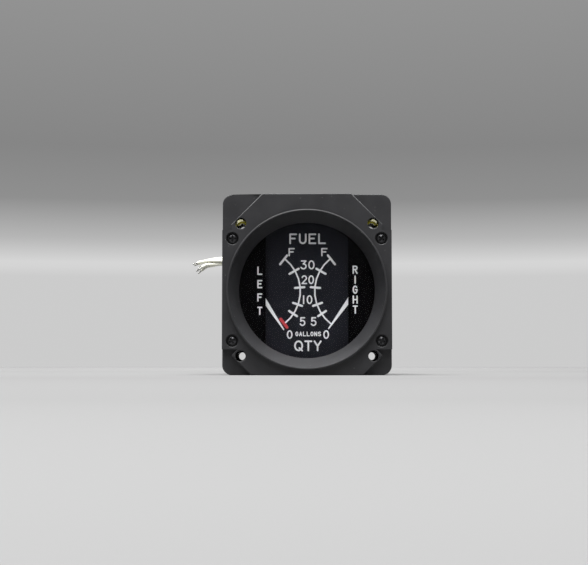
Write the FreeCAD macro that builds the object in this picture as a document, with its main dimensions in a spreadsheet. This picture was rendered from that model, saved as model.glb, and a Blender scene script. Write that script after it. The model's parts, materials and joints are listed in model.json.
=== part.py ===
"""Dual fuel quantity indicator, rear mounted, with a square bezel 60.3 mm wide.

Frame: origin at the centre of the bezel plate's front face, the face that lies against the panel.
+X is to the right seen from the pilot, +Y goes back into the panel, +Z is up. Millimetres.
"""
import FreeCAD
import Part
import math
import os
import re
import Sketcher

V = FreeCAD.Vector
doc = FreeCAD.newDocument("FuelIndicator")
sheet = doc.addObject("Spreadsheet::Sheet", "Sizes")

SIZES = {
    # Panel fastening: hole square 1.856 in, number 6 screws
    "mount_half": 23.57, "mount_hole": 1.95, "mount_chamfer": 0.15,
    # Bezel plate round the holes, its depth and its stepped corners
    "side_margin": 6.58, "top_margin": 10.73, "bottom_margin": 6.83, "plate_corner": 3.6, "edge_round": 0.4,
    "back_margin": 0.7, "corner_drop": 2.4, "corner_beyond": 3.06, "notch_out": 3.23, "notch_in": 2.37,
    "cut_over": 1.0, "fit_gap": 0.05,
    # Rim, cone and window
    "hole_to_rim": 4.883, "rim_height": 1.8, "crest_width": 0.6, "crest_round": 0.3,
    "cone_width": 4.1, "cone_depth": 4.5, "window_lip": 0.5,
    # Nuts; the upper ones have a plain lead-in before their thread
    "nut_floor": 1.0, "nut_bore": 1.43, "nut_barrel": 3.0, "nut_rim": 0.9, "nut_flange_thick": 1.2,
    "nut_lead_in": 1.8, "nut_lead_in_long": 8.6, "nut_tail": 10.7,
    "low_nut_barrel": 2.6, "low_nut_rim": 0.8, "low_nut_flange_thick": 0.8, "low_nut_tail": 5.0,
    # Bezel screws
    "screw_out": 2.93, "screw_in": 5.37, "screw_shank": 1.1, "screw_head": 1.7, "screw_head_tall": 1.3,
    "screw_sink": 1.5, "screw_sink_room": 0.5, "screw_short": 0.5, "screw_clear": 0.15,
    # Window glass, its seal, the spacer ring, the dial and the masks
    "window_cover": 1.0, "glass_thick": 1.5, "glass_over": 0.1, "glass_clear": 0.2, "seal_thick": 0.8,
    "ring_wall": 0.7, "ring_long": 2.9, "dial_thick": 0.8,
    "mask_gap": 1.2, "mask_thick": 0.6, "mask_margin": 0.9, "hub_cover": 2.7,
    "mask_post": 1.0, "mask_post_edge": 0.2, "mask_post_angle": 36.1,
    "dial_screw_edge": 2.6, "dial_screw_angle": 23.7, "dial_screw_head": 1.3, "dial_screw_head_tall": 0.7,
    "dial_screw_shank": 0.7, "dial_screw_short": 0.4, "dial_post": 1.8,
    # Needles
    "tip_gap": 0.7, "needle_half": 0.98, "needle_tip_half": 0.22, "needle_above": 1.2,
    "needle_thick": 0.3, "tail_length": 3.6, "tail_half": 0.7, "balance_radius": 1.4,
    "hub_radius": 1.5, "hub_above": 1.5, "hub_depth": 1.2, "balance_depth": 0.6,
    "low_stop_angle": 56.7, "high_stop_angle": 56.0, "right_reading_angle": 54.4,
    "stop_reach": 6.0, "stop_pin": 0.4, "stop_gap": 0.1,
    # Movement plate and air-core movements
    "plate_gap": 1.6, "plate_thick": 1.5,
    "shaft_radius": 0.45, "bush_long": 1.8, "run_clear": 0.05, "boss_wall": 0.5,
    "coil_gap": 1.5, "coil_wide": 1.2, "coil_thick": 0.75, "coil_round": 0.6, "coil_end": 0.5,
    "core_wall": 0.8, "leg_radius": 0.95, "movement_long": 14.0,
    "rotor_radius": 2.7, "rotor_long": 3.6, "rotor_side_gap": 0.4, "rotor_end_gap": 0.8,
    "can_clear": 0.173, "can_wall": 0.4, "can_gap": 0.65, "magnet_radius": 0.5, "magnet_long": 3.0,
    # Pillars, circuit board and what is on it
    "pillar_edge": 0.53, "pillar_angle": 57.85, "pillar_radius": 2.2, "board_room": 4.0, "board_thick": 1.6,
    "board_edge": 1.2, "board_screw_head": 1.9, "board_screw_tall": 1.2, "board_screw_shank": 1.0,
    "board_screw_long": 4.0,
    "chip_x": 5.0, "chip_z": -1.0, "chip_half_x": 4.9, "chip_half_z": 2.0, "chip_tall": 1.8,
    "trimmer_x": 15.0, "trimmer_z": 4.0, "trimmer_half": 2.3, "trimmer_tall": 4.4,
    "capacitor_x": 8.0, "capacitor_z": -9.0, "capacitor_radius": 2.5, "capacitor_tall": 8.0,
    # Case, mounting frame and rear cover
    "case_clear": 0.2, "front_wall": 0.8, "case_wall": 1.4, "flange_reach": 1.3, "rear_room": 26.4,
    "flange_thick": 1.2, "seal_case_thick": 0.6, "frame_depth": 4.6, "frame_inset": 0.4,
    "boss_inside": 2.26, "cover_boss": 2.6, "boss_long": 12.0, "cover_thick": 2.5, "cover_round": 0.8,
    "cover_seal_thick": 0.5, "cover_screw_head": 2.0, "cover_screw_tall": 1.4, "cover_screw_shank": 1.1,
    "cover_screw_long": 8.0,
    # Lead outlet
    "outlet_in": 5.186, "outlet_down": 3.796, "outlet_radius": 3.6, "grommet_lip": 1.0,
    "grommet_lip_thick": 1.1, "grommet_nose": 2.0, "grommet_nose_wall": 0.9, "lead_radius": 2.0,
    "wire_radius": 0.7, "wire_offset": 0.95, "wire_bare": 6.0,
}
FITTED = {
    # Sizes worked out from the driving ones and a clearance, so that pieces stay together
    "plate_half": "mount_half + side_margin",
    "plate_top": "mount_half + top_margin",
    "plate_bottom": "mount_half + bottom_margin",
    "corner_line": "2 * mount_half + corner_beyond",
    "notch_apex": "mount_half + notch_out",
    "notch_level": "mount_half - notch_in",
    "screw_across": "mount_half + screw_out",
    "screw_up": "mount_half - screw_in",
    "screw_sink_radius": "screw_head + screw_sink_room",
    "rim_radius": "mount_half * sqrt(2) - hole_to_rim",
    "window_radius": "rim_radius - cone_width",
    "lip_back": "cone_depth + window_lip",
    "glass_back": "lip_back + glass_thick",
    "seal_back": "glass_back + seal_thick",
    "bezel_depth": "seal_back + back_margin",
    "frame_back": "bezel_depth + frame_depth",
    "screw_length": "frame_back - screw_sink - screw_short",
    "dial_front": "seal_back + ring_long",
    "dial_back": "dial_front + dial_thick",
    "dial_radius": "window_radius + window_cover",
    "glass_radius": "dial_radius + glass_over",
    "mask_front": "glass_back + mask_gap",
    "mask_back": "mask_front + mask_thick",
    "mask_radius": "dial_radius - mask_margin",
    "mask_post_circle": "mask_radius - mask_post - mask_post_edge",
    "mask_post_x": "mask_post_circle * cos(mask_post_angle)",
    "mask_post_z": "mask_post_circle * sin(mask_post_angle)",
    "dial_screw_circle": "dial_radius - dial_screw_edge",
    "dial_screw_x": "dial_screw_circle * cos(dial_screw_angle)",
    "dial_screw_z": "dial_screw_circle * sin(dial_screw_angle)",
    "case_bore": "dial_radius + case_clear",
    "case_radius": "case_bore + front_wall",
    "case_inside": "case_radius - case_wall",
    "case_flange": "case_radius + flange_reach",
    "flange_front": "bezel_depth + seal_case_thick",
    "flange_back": "flange_front + flange_thick",
    "nut_web": "corner_drop + nut_floor",
    "nut_thread": "nut_web + nut_lead_in_long",
    "nut_flange": "nut_barrel + nut_rim",
    "low_nut_flange": "low_nut_barrel + low_nut_rim",
    "nut_flange_back": "frame_back + nut_flange_thick",
    "boss_radius": "coil_gap - fit_gap",
    "bush_radius": "boss_radius - boss_wall",
    "leg_offset": "coil_gap + coil_wide + leg_radius + fit_gap",
    "core_half_x": "leg_offset + leg_radius + 2 * fit_gap",
    "cavity_radius": "rotor_radius + rotor_side_gap",
    "cavity_long": "rotor_long + 2 * rotor_end_gap",
    "core_half_z": "cavity_radius + core_wall",
    "core_start": "2 * coil_thick + coil_end",
    "core_end": "movement_long - core_start",
    "coil_corner": "sqrt((core_half_x + coil_thick) ^ 2 + (coil_gap + coil_wide) ^ 2)",
    "can_radius": "coil_corner + can_clear + can_wall",
    "can_depth": "movement_long + 2 * coil_thick",
    "pivot_across": "case_inside - can_radius - can_gap",
    "mask_edge": "pivot_across - hub_cover",
    "needle_length": "pivot_across - tip_gap",
    "needle_front": "dial_front - needle_above",
    "hub_front": "dial_front - hub_above",
    "plate_front": "dial_back + plate_gap",
    "movement_front": "plate_front + plate_thick",
    "dial_screw_length": "movement_front - dial_front - dial_screw_short",
    "board_front": "movement_front + can_depth + can_wall + board_room",
    "board_back": "board_front + board_thick",
    "board_radius": "case_inside - board_edge",
    "pillar_circle": "board_radius - pillar_radius - pillar_edge",
    "pillar_x": "pillar_circle * cos(pillar_angle)",
    "pillar_z": "pillar_circle * sin(pillar_angle)",
    "case_back": "board_back + rear_room",
    "cover_front": "case_back + cover_seal_thick",
    "cover_back": "cover_front + cover_thick",
    "boss_offset": "(case_inside - boss_inside) / sqrt(2)",
    "outlet_x": "outlet_in - pillar_x",
    "outlet_z": "pillar_z - outlet_down",
    "grommet_lip_back": "cover_back + grommet_lip_thick",
    "lead_exit": "grommet_lip_back + grommet_nose",
}
for row, (alias, value) in enumerate(SIZES.items(), 1):
    sheet.set(f"A{row}", alias)
    sheet.set(f"B{row}", str(value))
    sheet.setAlias(f"B{row}", alias)
doc.recompute()

NAMED = re.compile(r"\b(" + "|".join(SIZES) + r")\b")
WORKED = re.compile(r"\b(" + "|".join(FITTED) + r")\b")


def formula(text):
    """Write fitted sizes out in full, then put the sheet's name before each driving size."""
    text = str(text)
    while WORKED.search(text):
        text = WORKED.sub(lambda found: f"({FITTED[found.group(1)]})", text)
    return NAMED.sub(r"Sizes.\1", text)


def number(text):
    """Work out an expression of sizes."""
    return float(sheet.evalExpression(formula(text)))


def origin_plane(body, role):
    return next(o for o in body.Origin.OriginFeatures if o.Role == role)


def new_body(label):
    body = doc.addObject("PartDesign::Body", label)
    body.Label = label
    return body


def new_sketch(body, plane, height=None):
    """Sketch on an origin plane; on the XZ plane, height is how far back (+Y) it stands."""
    sketch = body.newObject("Sketcher::SketchObject", f"{body.Name}_sketch")
    sketch.AttachmentSupport = [(origin_plane(body, plane), "")]
    sketch.MapMode = "FlatFace"
    if height is not None:
        sketch.setExpression("AttachmentOffset.Base.z", formula(f"-1 * ({height})"))
    return sketch


def hold(sketch, kind, refs, text):
    """Add one dimension to a sketch and bind it to an expression of sizes."""
    index = sketch.addConstraint(Sketcher.Constraint(kind, *refs, number(text)))
    sketch.setExpression(f"Constraints[{index}]", formula(text))


def polygon(sketch, points):
    """Closed outline through points given as pairs of expressions."""
    spots = [V(number(a), number(b), 0) for a, b in points]
    first = len(sketch.Geometry)
    count = len(spots)
    for i in range(count):
        sketch.addGeometry(Part.LineSegment(spots[i], spots[(i + 1) % count]), False)
    for i in range(count):
        here, after = first + i, first + (i + 1) % count
        sketch.addConstraint(Sketcher.Constraint("Coincident", here, 2, after, 1))
    for i, (a, b) in enumerate(points):
        hold(sketch, "DistanceX", (-1, 1, first + i, 1), a)
        hold(sketch, "DistanceY", (-1, 1, first + i, 1), b)


def circle(sketch, across, up, radius):
    """Circle whose centre and radius are expressions."""
    spot = V(number(across), number(up), 0)
    index = sketch.addGeometry(Part.Circle(spot, V(0, 0, 1), number(radius)), False)
    hold(sketch, "DistanceX", (-1, 1, index, 3), across)
    hold(sketch, "DistanceY", (-1, 1, index, 3), up)
    hold(sketch, "Radius", (index,), radius)


def check_change(body, before, adds):
    """A feature that points the wrong way changes nothing, so the volume is compared."""
    doc.recompute()
    change = body.Shape.Volume - before
    if (change <= 0) if adds else (change >= 0):
        raise RuntimeError(f"{body.Label}: a feature changed the volume by {change:.4f}")


def volume_now(body):
    return body.Shape.Volume if body.Tip else 0.0


def pad(body, start, end, shapes):
    """Extrude outlines and circles backwards (+Y), from start to end."""
    before = volume_now(body)
    sketch = new_sketch(body, "XZ_Plane", start)
    for points in shapes.get("polygons", []):
        polygon(sketch, points)
    for spot in shapes.get("circles", []):
        circle(sketch, *spot)
    feature = body.newObject("PartDesign::Pad", f"{body.Name}_pad")
    feature.Profile = sketch
    feature.Reversed = True
    feature.setExpression("Length", formula(f"({end}) - ({start})"))
    check_change(body, before, adds=True)
    return feature


def pocket(body, start, end, shapes):
    """Cut outlines and circles from start back to end."""
    before = volume_now(body)
    sketch = new_sketch(body, "XZ_Plane", start)
    for points in shapes.get("polygons", []):
        polygon(sketch, points)
    for spot in shapes.get("circles", []):
        circle(sketch, *spot)
    feature = body.newObject("PartDesign::Pocket", f"{body.Name}_pocket")
    feature.Profile = sketch
    feature.setExpression("Length", formula(f"({end}) - ({start})"))
    check_change(body, before, adds=False)
    return feature


def turn(body, points, cut=False):
    """Revolve an outline of (radius, y) about the body's Y axis."""
    before = volume_now(body)
    sketch = new_sketch(body, "XY_Plane")
    polygon(sketch, points)
    kind = "PartDesign::Groove" if cut else "PartDesign::Revolution"
    feature = body.newObject(kind, f"{body.Name}_turn")
    feature.Profile = sketch
    feature.ReferenceAxis = (sketch, ["V_Axis"])
    feature.Angle = 360
    check_change(body, before, adds=not cut)
    return feature


def dress(body, kind, size, wanted):
    """Round or bevel the edges that the test picks, by a size from the sheet."""
    before = body.Tip
    names = [f"Edge{i + 1}" for i, e in enumerate(before.Shape.Edges) if wanted(e)]
    if not names:
        raise RuntimeError(f"{body.Label}: no edges to dress")
    feature = body.newObject(f"PartDesign::{kind}", f"{body.Name}_{kind.lower()}")
    feature.Base = (before, names)
    feature.setExpression("Radius" if kind == "Fillet" else "Size", formula(size))
    doc.recompute()
    return feature


def is_circle(edge, radius, y):
    """True for a full circle about a Y axis, of one radius, at one depth."""
    curve = edge.Curve
    if not isinstance(curve, Part.Circle) or abs(abs(curve.Axis.y) - 1) > 1e-6:
        return False
    return abs(curve.Radius - number(radius)) < 1e-4 and abs(curve.Center.y - number(y)) < 1e-4


def turned(label, points, x="0", z="0"):
    """A turned piece: one revolved outline, put on the axis at (x, z)."""
    body = new_body(label)
    turn(body, points)
    body.setExpression("Placement.Base.x", formula(x))
    body.setExpression("Placement.Base.z", formula(z))
    return body


def ring_points(inner, outer, front, back):
    return [(inner, front), (outer, front), (outer, back), (inner, back)]


def gather(label, members):
    """Several loose pieces in one node."""
    joined = doc.addObject("Part::Compound", label)
    joined.Label = label
    joined.Links = members
    return joined


def group(label, outline, spots):
    """Identical turned pieces in one node: the outline is turned at each (x, z)."""
    return gather(label, [turned(f"{label}_{i}", outline, x, z) for i, (x, z) in enumerate(spots, 1)])


SIDES = {"left": -1, "right": 1}
CORNERS = [(sx, sz) for sx in (-1, 1) for sz in (-1, 1)]
TOP_CORNERS = [(sx, 1) for sx in (-1, 1)]
LOW_CORNERS = [(sx, -1) for sx in (-1, 1)]


def at_corners(x, z, corners=tuple(CORNERS)):
    return [(f"{sx} * ({x})", f"{sz} * ({z})") for sx, sz in corners]


def at_corners_circles(x, z, radius, corners=tuple(CORNERS)):
    return [(a, b, radius) for a, b in at_corners(x, z, corners)]


def plate_outline(inset="0"):
    half, top, low = f"(plate_half - {inset})", f"(plate_top - {inset})", f"(plate_bottom - {inset})"
    return [(f"-{half}", f"-{low}"), (half, f"-{low}"), (half, top), (f"-{half}", top)]


def is_plate_corner(edge):
    """The four upright corners of a plate: straight edges along Y near the outline's corners."""
    box = edge.BoundBox
    upright = box.YLength > 1 and box.XLength + box.ZLength < 1e-6
    return upright and abs(box.Center.x) > number("plate_half - plate_corner / 2")


def is_front_edge(edge):
    """The edges of a plate's front outline, which lies on the frame's XZ plane."""
    return abs(edge.BoundBox.YMin) < 1e-6 and abs(edge.BoundBox.YMax) < 1e-6


def corner_step(sx, sz):
    """Cut-back corner: a 45 degree line beside the mounting hole, a right angle, then a level line."""
    edge = "plate_top" if sz > 0 else "plate_bottom"
    far_x, far_z = "(plate_half + cut_over)", f"({edge} + cut_over)"
    apex_z = "(corner_line - notch_apex)"
    points = [
        (f"(corner_line - {far_z})", far_z),
        ("notch_apex", apex_z),
        (f"(notch_apex - {apex_z} + notch_level)", "notch_level"),
        (far_x, "notch_level"),
        (far_x, far_z),
    ]
    return [(f"{sx} * {a}", f"{sz} * {b}") for a, b in points]


def make_bezel():
    """Moulded bezel: stepped plate, round rim, cone down to the window, seats at the back."""
    body = new_body("bezel")
    pad(body, "0", "bezel_depth", {"polygons": [plate_outline()]})
    dress(body, "Fillet", "plate_corner", is_plate_corner)
    dress(body, "Fillet", "edge_round", is_front_edge)
    turn(body, [("0", "-rim_height"), ("rim_radius", "-rim_height"), ("rim_radius", "cut_over"),
                ("0", "cut_over")])
    for sx, sz in CORNERS:
        pocket(body, "-cut_over", "corner_drop", {"polygons": [corner_step(sx, sz)]})
    crest_in = "(rim_radius - crest_width)"
    seat = "(glass_radius + glass_clear)"
    turn(body, [
        ("0", "-rim_height - cut_over"), (crest_in, "-rim_height - cut_over"), (crest_in, "-rim_height"),
        ("window_radius", "cone_depth"), ("window_radius", "lip_back"), (seat, "lip_back"),
        (seat, "bezel_depth + cut_over"), ("0", "bezel_depth + cut_over"),
    ], cut=True)
    pocket(body, "-cut_over", "bezel_depth + cut_over",
           {"circles": at_corners_circles("mount_half", "mount_half", "mount_hole")})
    pocket(body, "nut_web", "bezel_depth + cut_over",
           {"circles": at_corners_circles("mount_half", "mount_half", "nut_barrel + fit_gap", TOP_CORNERS)})
    pocket(body, "-cut_over", "bezel_depth + cut_over",
           {"circles": at_corners_circles("screw_across", "screw_up", "screw_shank + screw_clear")})
    pocket(body, "-cut_over", "screw_sink",
           {"circles": at_corners_circles("screw_across", "screw_up", "screw_sink_radius")})
    dress(body, "Fillet", "crest_round", lambda e: is_circle(e, "rim_radius", "-rim_height"))
    dress(body, "Chamfer", "mount_chamfer", lambda e: is_circle(e, "mount_hole", "0"))
    return body


def make_mounting_frame():
    """Moulded frame behind the bezel: clamps the case flange and holds the nuts."""
    body = new_body("mounting_frame")
    pad(body, "bezel_depth", "frame_back", {"polygons": [plate_outline("frame_inset")]})
    dress(body, "Fillet", "plate_corner", is_plate_corner)
    turn(body, [
        ("0", "bezel_depth - cut_over"), ("case_flange + screw_clear", "bezel_depth - cut_over"),
        ("case_flange + screw_clear", "flange_back"), ("case_radius + screw_clear", "flange_back"),
        ("case_radius + screw_clear", "frame_back + cut_over"), ("0", "frame_back + cut_over"),
    ], cut=True)
    drill = "bezel_depth - cut_over", "frame_back + cut_over"
    pocket(body, *drill,
           {"circles": at_corners_circles("mount_half", "mount_half", "nut_barrel + fit_gap", TOP_CORNERS)
            + at_corners_circles("mount_half", "mount_half", "low_nut_barrel + fit_gap", LOW_CORNERS)
            + at_corners_circles("screw_across", "screw_up", "screw_shank")})
    return body


def make_nuts():
    """Barrel nuts: the long upper pair reaches into the bezel, the short lower pair does not."""
    reach, low_back = "nut_flange_back + nut_tail", "frame_back + low_nut_flange_thick"
    low_reach, low_tail = f"{low_back} + low_nut_tail", "(low_nut_barrel - fit_gap)"
    top = [
        ("nut_lead_in", "nut_web"), ("nut_barrel", "nut_web"), ("nut_barrel", "frame_back"),
        ("nut_flange", "frame_back"), ("nut_flange", "nut_flange_back"),
        ("low_nut_barrel", "nut_flange_back"), ("low_nut_barrel", reach), ("nut_bore", reach),
        ("nut_bore", "nut_thread"), ("nut_lead_in", "nut_thread"),
    ]
    low = [
        ("nut_bore", "bezel_depth"), ("low_nut_barrel", "bezel_depth"), ("low_nut_barrel", "frame_back"),
        ("low_nut_flange", "frame_back"), ("low_nut_flange", low_back), (low_tail, low_back),
        (low_tail, low_reach), ("nut_bore", low_reach),
    ]
    return [
        group("top_nuts", top, at_corners("mount_half", "mount_half", TOP_CORNERS)),
        group("bottom_nuts", low, at_corners("mount_half", "mount_half", LOW_CORNERS)),
    ]


def screw_outline(seat, head, tall, shank, length):
    """Domed head standing forward (-Y) of its seat, with a plain shank behind it."""
    top = f"({seat} - {tall})"
    return [
        ("0", top), (f"0.6 * {head}", top), (f"0.9 * {head}", f"{top} + 0.3 * {tall}"),
        (head, f"{top} + 0.7 * {tall}"), (head, seat), (shank, seat), (shank, f"{seat} + {length}"),
        ("0", f"{seat} + {length}"),
    ]


def back_screw_outline(seat, head, tall, shank, length):
    """The same screw, driven from behind: its head stands back (+Y) of the seat."""
    top = f"({seat} + {tall})"
    return [
        ("0", f"{seat} - {length}"), (shank, f"{seat} - {length}"), (shank, seat), (head, seat),
        (head, f"{top} - 0.7 * {tall}"), (f"0.9 * {head}", f"{top} - 0.3 * {tall}"),
        (f"0.6 * {head}", top), ("0", top),
    ]


def make_window():
    """Glass, its seal and the ring that spaces it from the dial."""
    inner = "(glass_radius - ring_wall)"
    glass = turned("glass", [("0", "lip_back"), ("glass_radius", "lip_back"), ("glass_radius", "glass_back"),
                             ("0", "glass_back")])
    gasket = turned("glass_gasket", ring_points(inner, "glass_radius", "glass_back", "seal_back"))
    spacer = turned("dial_spacer_ring", ring_points(inner, "glass_radius", "seal_back", "dial_front"))
    return [glass, gasket, spacer]


def make_dial():
    """Dial plate with holes for the two shafts and its four screws."""
    body = new_body("dial_plate")
    pad(body, "dial_front", "dial_back", {"circles": [("0", "0", "dial_radius")]
        + [(f"{s} * pivot_across", "0", "bush_radius + screw_clear") for s in (-1, 1)]
        + at_corners_circles("dial_screw_x", "dial_screw_z", "dial_screw_shank + screw_clear")})
    return body


def make_mask(side):
    """Black side plate in front of a needle's hub, a slice of a disc, on two posts."""
    sign = SIDES[side]
    body = new_body(f"mask_{side}")
    pad(body, "mask_front", "mask_back", {"circles": [("0", "0", "mask_radius")]})
    far = "(mask_radius + cut_over)"
    pocket(body, "mask_front - cut_over", "mask_back + cut_over",
           {"polygons": [[(f"{sign} * mask_edge", f"-{far}"), (f"-{sign} * {far}", f"-{far}"),
                          (f"-{sign} * {far}", far), (f"{sign} * mask_edge", far)]]})
    pad(body, "mask_back - mask_thick / 2", "dial_front",
        {"circles": [(f"{sign} * mask_post_x", f"{sz} * mask_post_z", "mask_post") for sz in (-1, 1)]})
    return body


def make_needle(side):
    """Tapered needle with its tail and round balance weight, and the turned hub behind it."""
    body = new_body(f"pointer_{side}")
    back = "(needle_front + needle_thick)"
    pad(body, "needle_front", back, {"polygons": [[
        ("-tail_length", "-tail_half"), ("0", "-needle_half"), ("needle_length", "-needle_tip_half"),
        ("needle_length", "needle_tip_half"), ("0", "needle_half"), ("-tail_length", "tail_half")]]})
    pad(body, "needle_front", "needle_front + balance_depth",
        {"circles": [("-tail_length", "0", "balance_radius")]})
    pad(body, "hub_front", "hub_front + hub_depth", {"circles": [("0", "0", "hub_radius")]})
    pocket(body, "hub_front - cut_over", "hub_front + hub_depth + cut_over",
           {"circles": [("0", "0", "shaft_radius")]})
    angle = "low_stop_angle" if side == "left" else "180 - right_reading_angle"
    body.Placement.Rotation = FreeCAD.Rotation(V(0, 1, 0), number(angle))
    body.setExpression("Placement.Rotation.Angle", formula(f"({angle}) * 1 deg"))
    body.setExpression("Placement.Base.x", formula(f"{SIDES[side]} * pivot_across"))
    return body


def along(y):
    """A depth inside a movement, counted from the movement's front."""
    return f"(movement_front + {y})"


def make_bobbin_half(side, half):
    """Half of the moulded bobbin: core block, boss for the bush, four legs and the rotor cavity."""
    body = new_body(f"{side}_bobbin_{half}")
    middle = "(movement_long / 2)"
    front = half == "front"
    core = ("core_start", middle) if front else (middle, "core_end")
    whole = ("0", middle) if front else (middle, "movement_long")
    block = [("-core_half_x", "-core_half_z"), ("core_half_x", "-core_half_z"),
             ("core_half_x", "core_half_z"), ("-core_half_x", "core_half_z")]
    pad(body, along(core[0]), along(core[1]), {"polygons": [block]})
    pad(body, along(whole[0]), along(whole[1]),
        {"circles": at_corners_circles("leg_offset", "leg_offset", "leg_radius")})
    pad(body, along(whole[0]), along(whole[1]), {"circles": [("0", "0", "boss_radius")]})
    cavity = (f"{middle} - cavity_long / 2", f"{middle} + cut_over") if front else (
        f"{middle} - cut_over", f"{middle} + cavity_long / 2")
    pocket(body, along(cavity[0]), along(cavity[1]), {"circles": [("0", "0", "cavity_radius")]})
    bush = ("(-cut_over)", "bush_long")
    if not front:
        bush = ("(movement_long - bush_long)", "(movement_long + cut_over)")
    pocket(body, along(bush[0]), along(bush[1]), {"circles": [("0", "0", "bush_radius")]})
    clear = (bush[1], middle) if front else (middle, bush[0])
    pocket(body, along(clear[0]), along(clear[1]), {"circles": [("0", "0", "shaft_radius + screw_clear")]})
    if not front:
        pocket(body, along(f"{middle} - cut_over"), along(f"{middle} + magnet_long"),
               {"circles": [("-leg_offset", "-leg_offset", "magnet_radius")]})
    body.setExpression("Placement.Base.x", formula(f"{SIDES[side]} * pivot_across"))
    return body


def make_coil(side, which):
    """Two rectangular windings, one each side of the boss; the outer pair crosses the inner one."""
    inner = which == "inner"
    half_in = "core_half_z" if inner else "core_half_x"
    grown = "coil_thick" if inner else "0"
    spare = "0" if inner else "coil_thick"
    near_in = f"(core_start - {spare})"
    far_in = f"(core_end + {spare})"
    label = f"{side}_{which}_coil"
    members = []
    for sign in (-1, 1):
        body = new_body(f"{label}_{'low' if sign < 0 else 'high'}")
        sketch = new_sketch(body, "YZ_Plane" if inner else "XY_Plane")
        start = f"{sign} * (coil_gap + coil_wide / 2) - coil_wide / 2"
        sketch.setExpression("AttachmentOffset.Base.z", formula(start))
        for swell in ("0", "coil_thick"):
            wide = f"({half_in} + {swell})"
            near, far = along(f"{near_in} - {swell}"), along(f"{far_in} + {swell}")
            corners = [(near, f"-{wide}"), (far, f"-{wide}"), (far, wide), (near, wide)]
            polygon(sketch, corners if inner else [(b, a) for a, b in corners])
        feature = body.newObject("PartDesign::Pad", f"{body.Name}_pad")
        feature.Profile = sketch
        feature.setExpression("Length", "Sizes.coil_wide")
        check_change(body, 0.0, adds=True)
        dress(body, "Fillet", "coil_round", lambda e: is_coil_corner(e, f"{half_in} + coil_thick"))
        body.setExpression("Placement.Base.x", formula(f"{SIDES[side]} * pivot_across"))
        members.append(body)
    return gather(label, members)


def is_coil_corner(edge, reach):
    """The four outer corners of a winding: short edges as long as the winding is wide."""
    if abs(edge.Length - number("coil_wide")) > 1e-6:
        return False
    centre = edge.CenterOfMass
    return abs(max(abs(centre.x), abs(centre.z)) - number(reach)) < 1e-4


def make_movement(side):
    """Air-core movement: bobbin halves, crossed coils, bushes, rotor magnet, shaft, steel can."""
    x = f"{SIDES[side]} * pivot_across"
    middle = "(movement_long / 2)"
    made = [make_bobbin_half(side, "front"), make_bobbin_half(side, "rear")]
    made += [make_coil(side, "inner"), make_coil(side, "outer")]
    bore = "(shaft_radius + run_clear)"
    members = []
    for end, (front, back) in {"front": ("0", "bush_long"),
                               "rear": ("movement_long - bush_long", "movement_long")}.items():
        points = ring_points(bore, "bush_radius", along(front), along(back))
        members.append(turned(f"{side}_bush_{end}", points, x))
    made.append(gather(f"{side}_bushes", members))
    made.append(turned(f"{side}_shaft", [
        ("0", "hub_front"), ("shaft_radius", "hub_front"),
        ("shaft_radius", along("movement_long")), ("0", along("movement_long"))], x))
    rotor = along(f"{middle} - rotor_long / 2"), along(f"{middle} + rotor_long / 2")
    made.append(turned(f"{side}_rotor_magnet", ring_points("shaft_radius", "rotor_radius", *rotor), x))
    made.append(turned(f"{side}_shield_can", [
        ("can_radius - can_wall", along("0")), ("can_radius", along("0")),
        ("can_radius", along("can_depth + can_wall")), ("0", along("can_depth + can_wall")),
        ("0", along("can_depth")), ("can_radius - can_wall", along("can_depth"))], x))
    made.append(turned(f"{side}_return_magnet", [
        ("0", along(middle)), ("magnet_radius", along(middle)),
        ("magnet_radius", along(f"{middle} + magnet_long")), ("0", along(f"{middle} + magnet_long"))],
        f"{x} - leg_offset", "-leg_offset"))
    return made


def make_stop_pins():
    """Two pins beside each hub, which the needle meets just past each end of its travel."""
    half = "(needle_half - (needle_half - needle_tip_half) * stop_reach / needle_length)"
    lag = f"asin(({half} + stop_pin + stop_gap) / stop_reach)"
    spots = []
    for sign in SIDES.values():
        for turn_sign, stop in ((-1, "low_stop_angle"), (1, "high_stop_angle")):
            angle = f"({stop} * 1 deg + {lag})"
            spots.append((f"{sign} * (pivot_across - stop_reach * cos({angle}))",
                          f"{turn_sign} * stop_reach * sin({angle})"))
    points = [("0", "needle_front - stop_gap"), ("stop_pin", "needle_front - stop_gap"),
              ("stop_pin", "dial_front"), ("0", "dial_front")]
    return group("stop_pins", points, spots)


def make_movement_plate():
    """Plate that carries both movements, with the four posts that the dial is screwed to."""
    body = new_body("movement_plate")
    pad(body, "plate_front", "movement_front", {"circles": [("0", "0", "dial_radius")]})
    pad(body, "dial_back", "movement_front",
        {"circles": at_corners_circles("dial_screw_x", "dial_screw_z", "dial_post")})
    pocket(body, "dial_back - cut_over", "movement_front + cut_over", {"circles":
        at_corners_circles("dial_screw_x", "dial_screw_z", "dial_screw_shank")
        + [(f"{s} * pivot_across", "0", "bush_radius + screw_clear") for s in SIDES.values()]})
    return body


def make_electronics():
    """Pillars, circuit board, its screws and the parts soldered to it."""
    depth = "board_front - board_screw_long - cut_over"
    pillar = [("0", "movement_front"), ("pillar_radius", "movement_front"), ("pillar_radius", "board_front"),
              ("board_screw_shank", "board_front"), ("board_screw_shank", depth), ("0", depth)]
    pillars = group("board_pillars", pillar, at_corners("pillar_x", "pillar_z"))
    board = new_body("circuit_board")
    pad(board, "board_front", "board_back", {"circles": [("0", "0", "board_radius")]
        + at_corners_circles("pillar_x", "pillar_z", "board_screw_shank + screw_clear")})
    screw = back_screw_outline("board_back", "board_screw_head", "board_screw_tall", "board_screw_shank",
                               "(board_screw_long + board_thick)")
    return [pillars, board, group("board_screws", screw, at_corners("pillar_x", "pillar_z"))]


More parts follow.
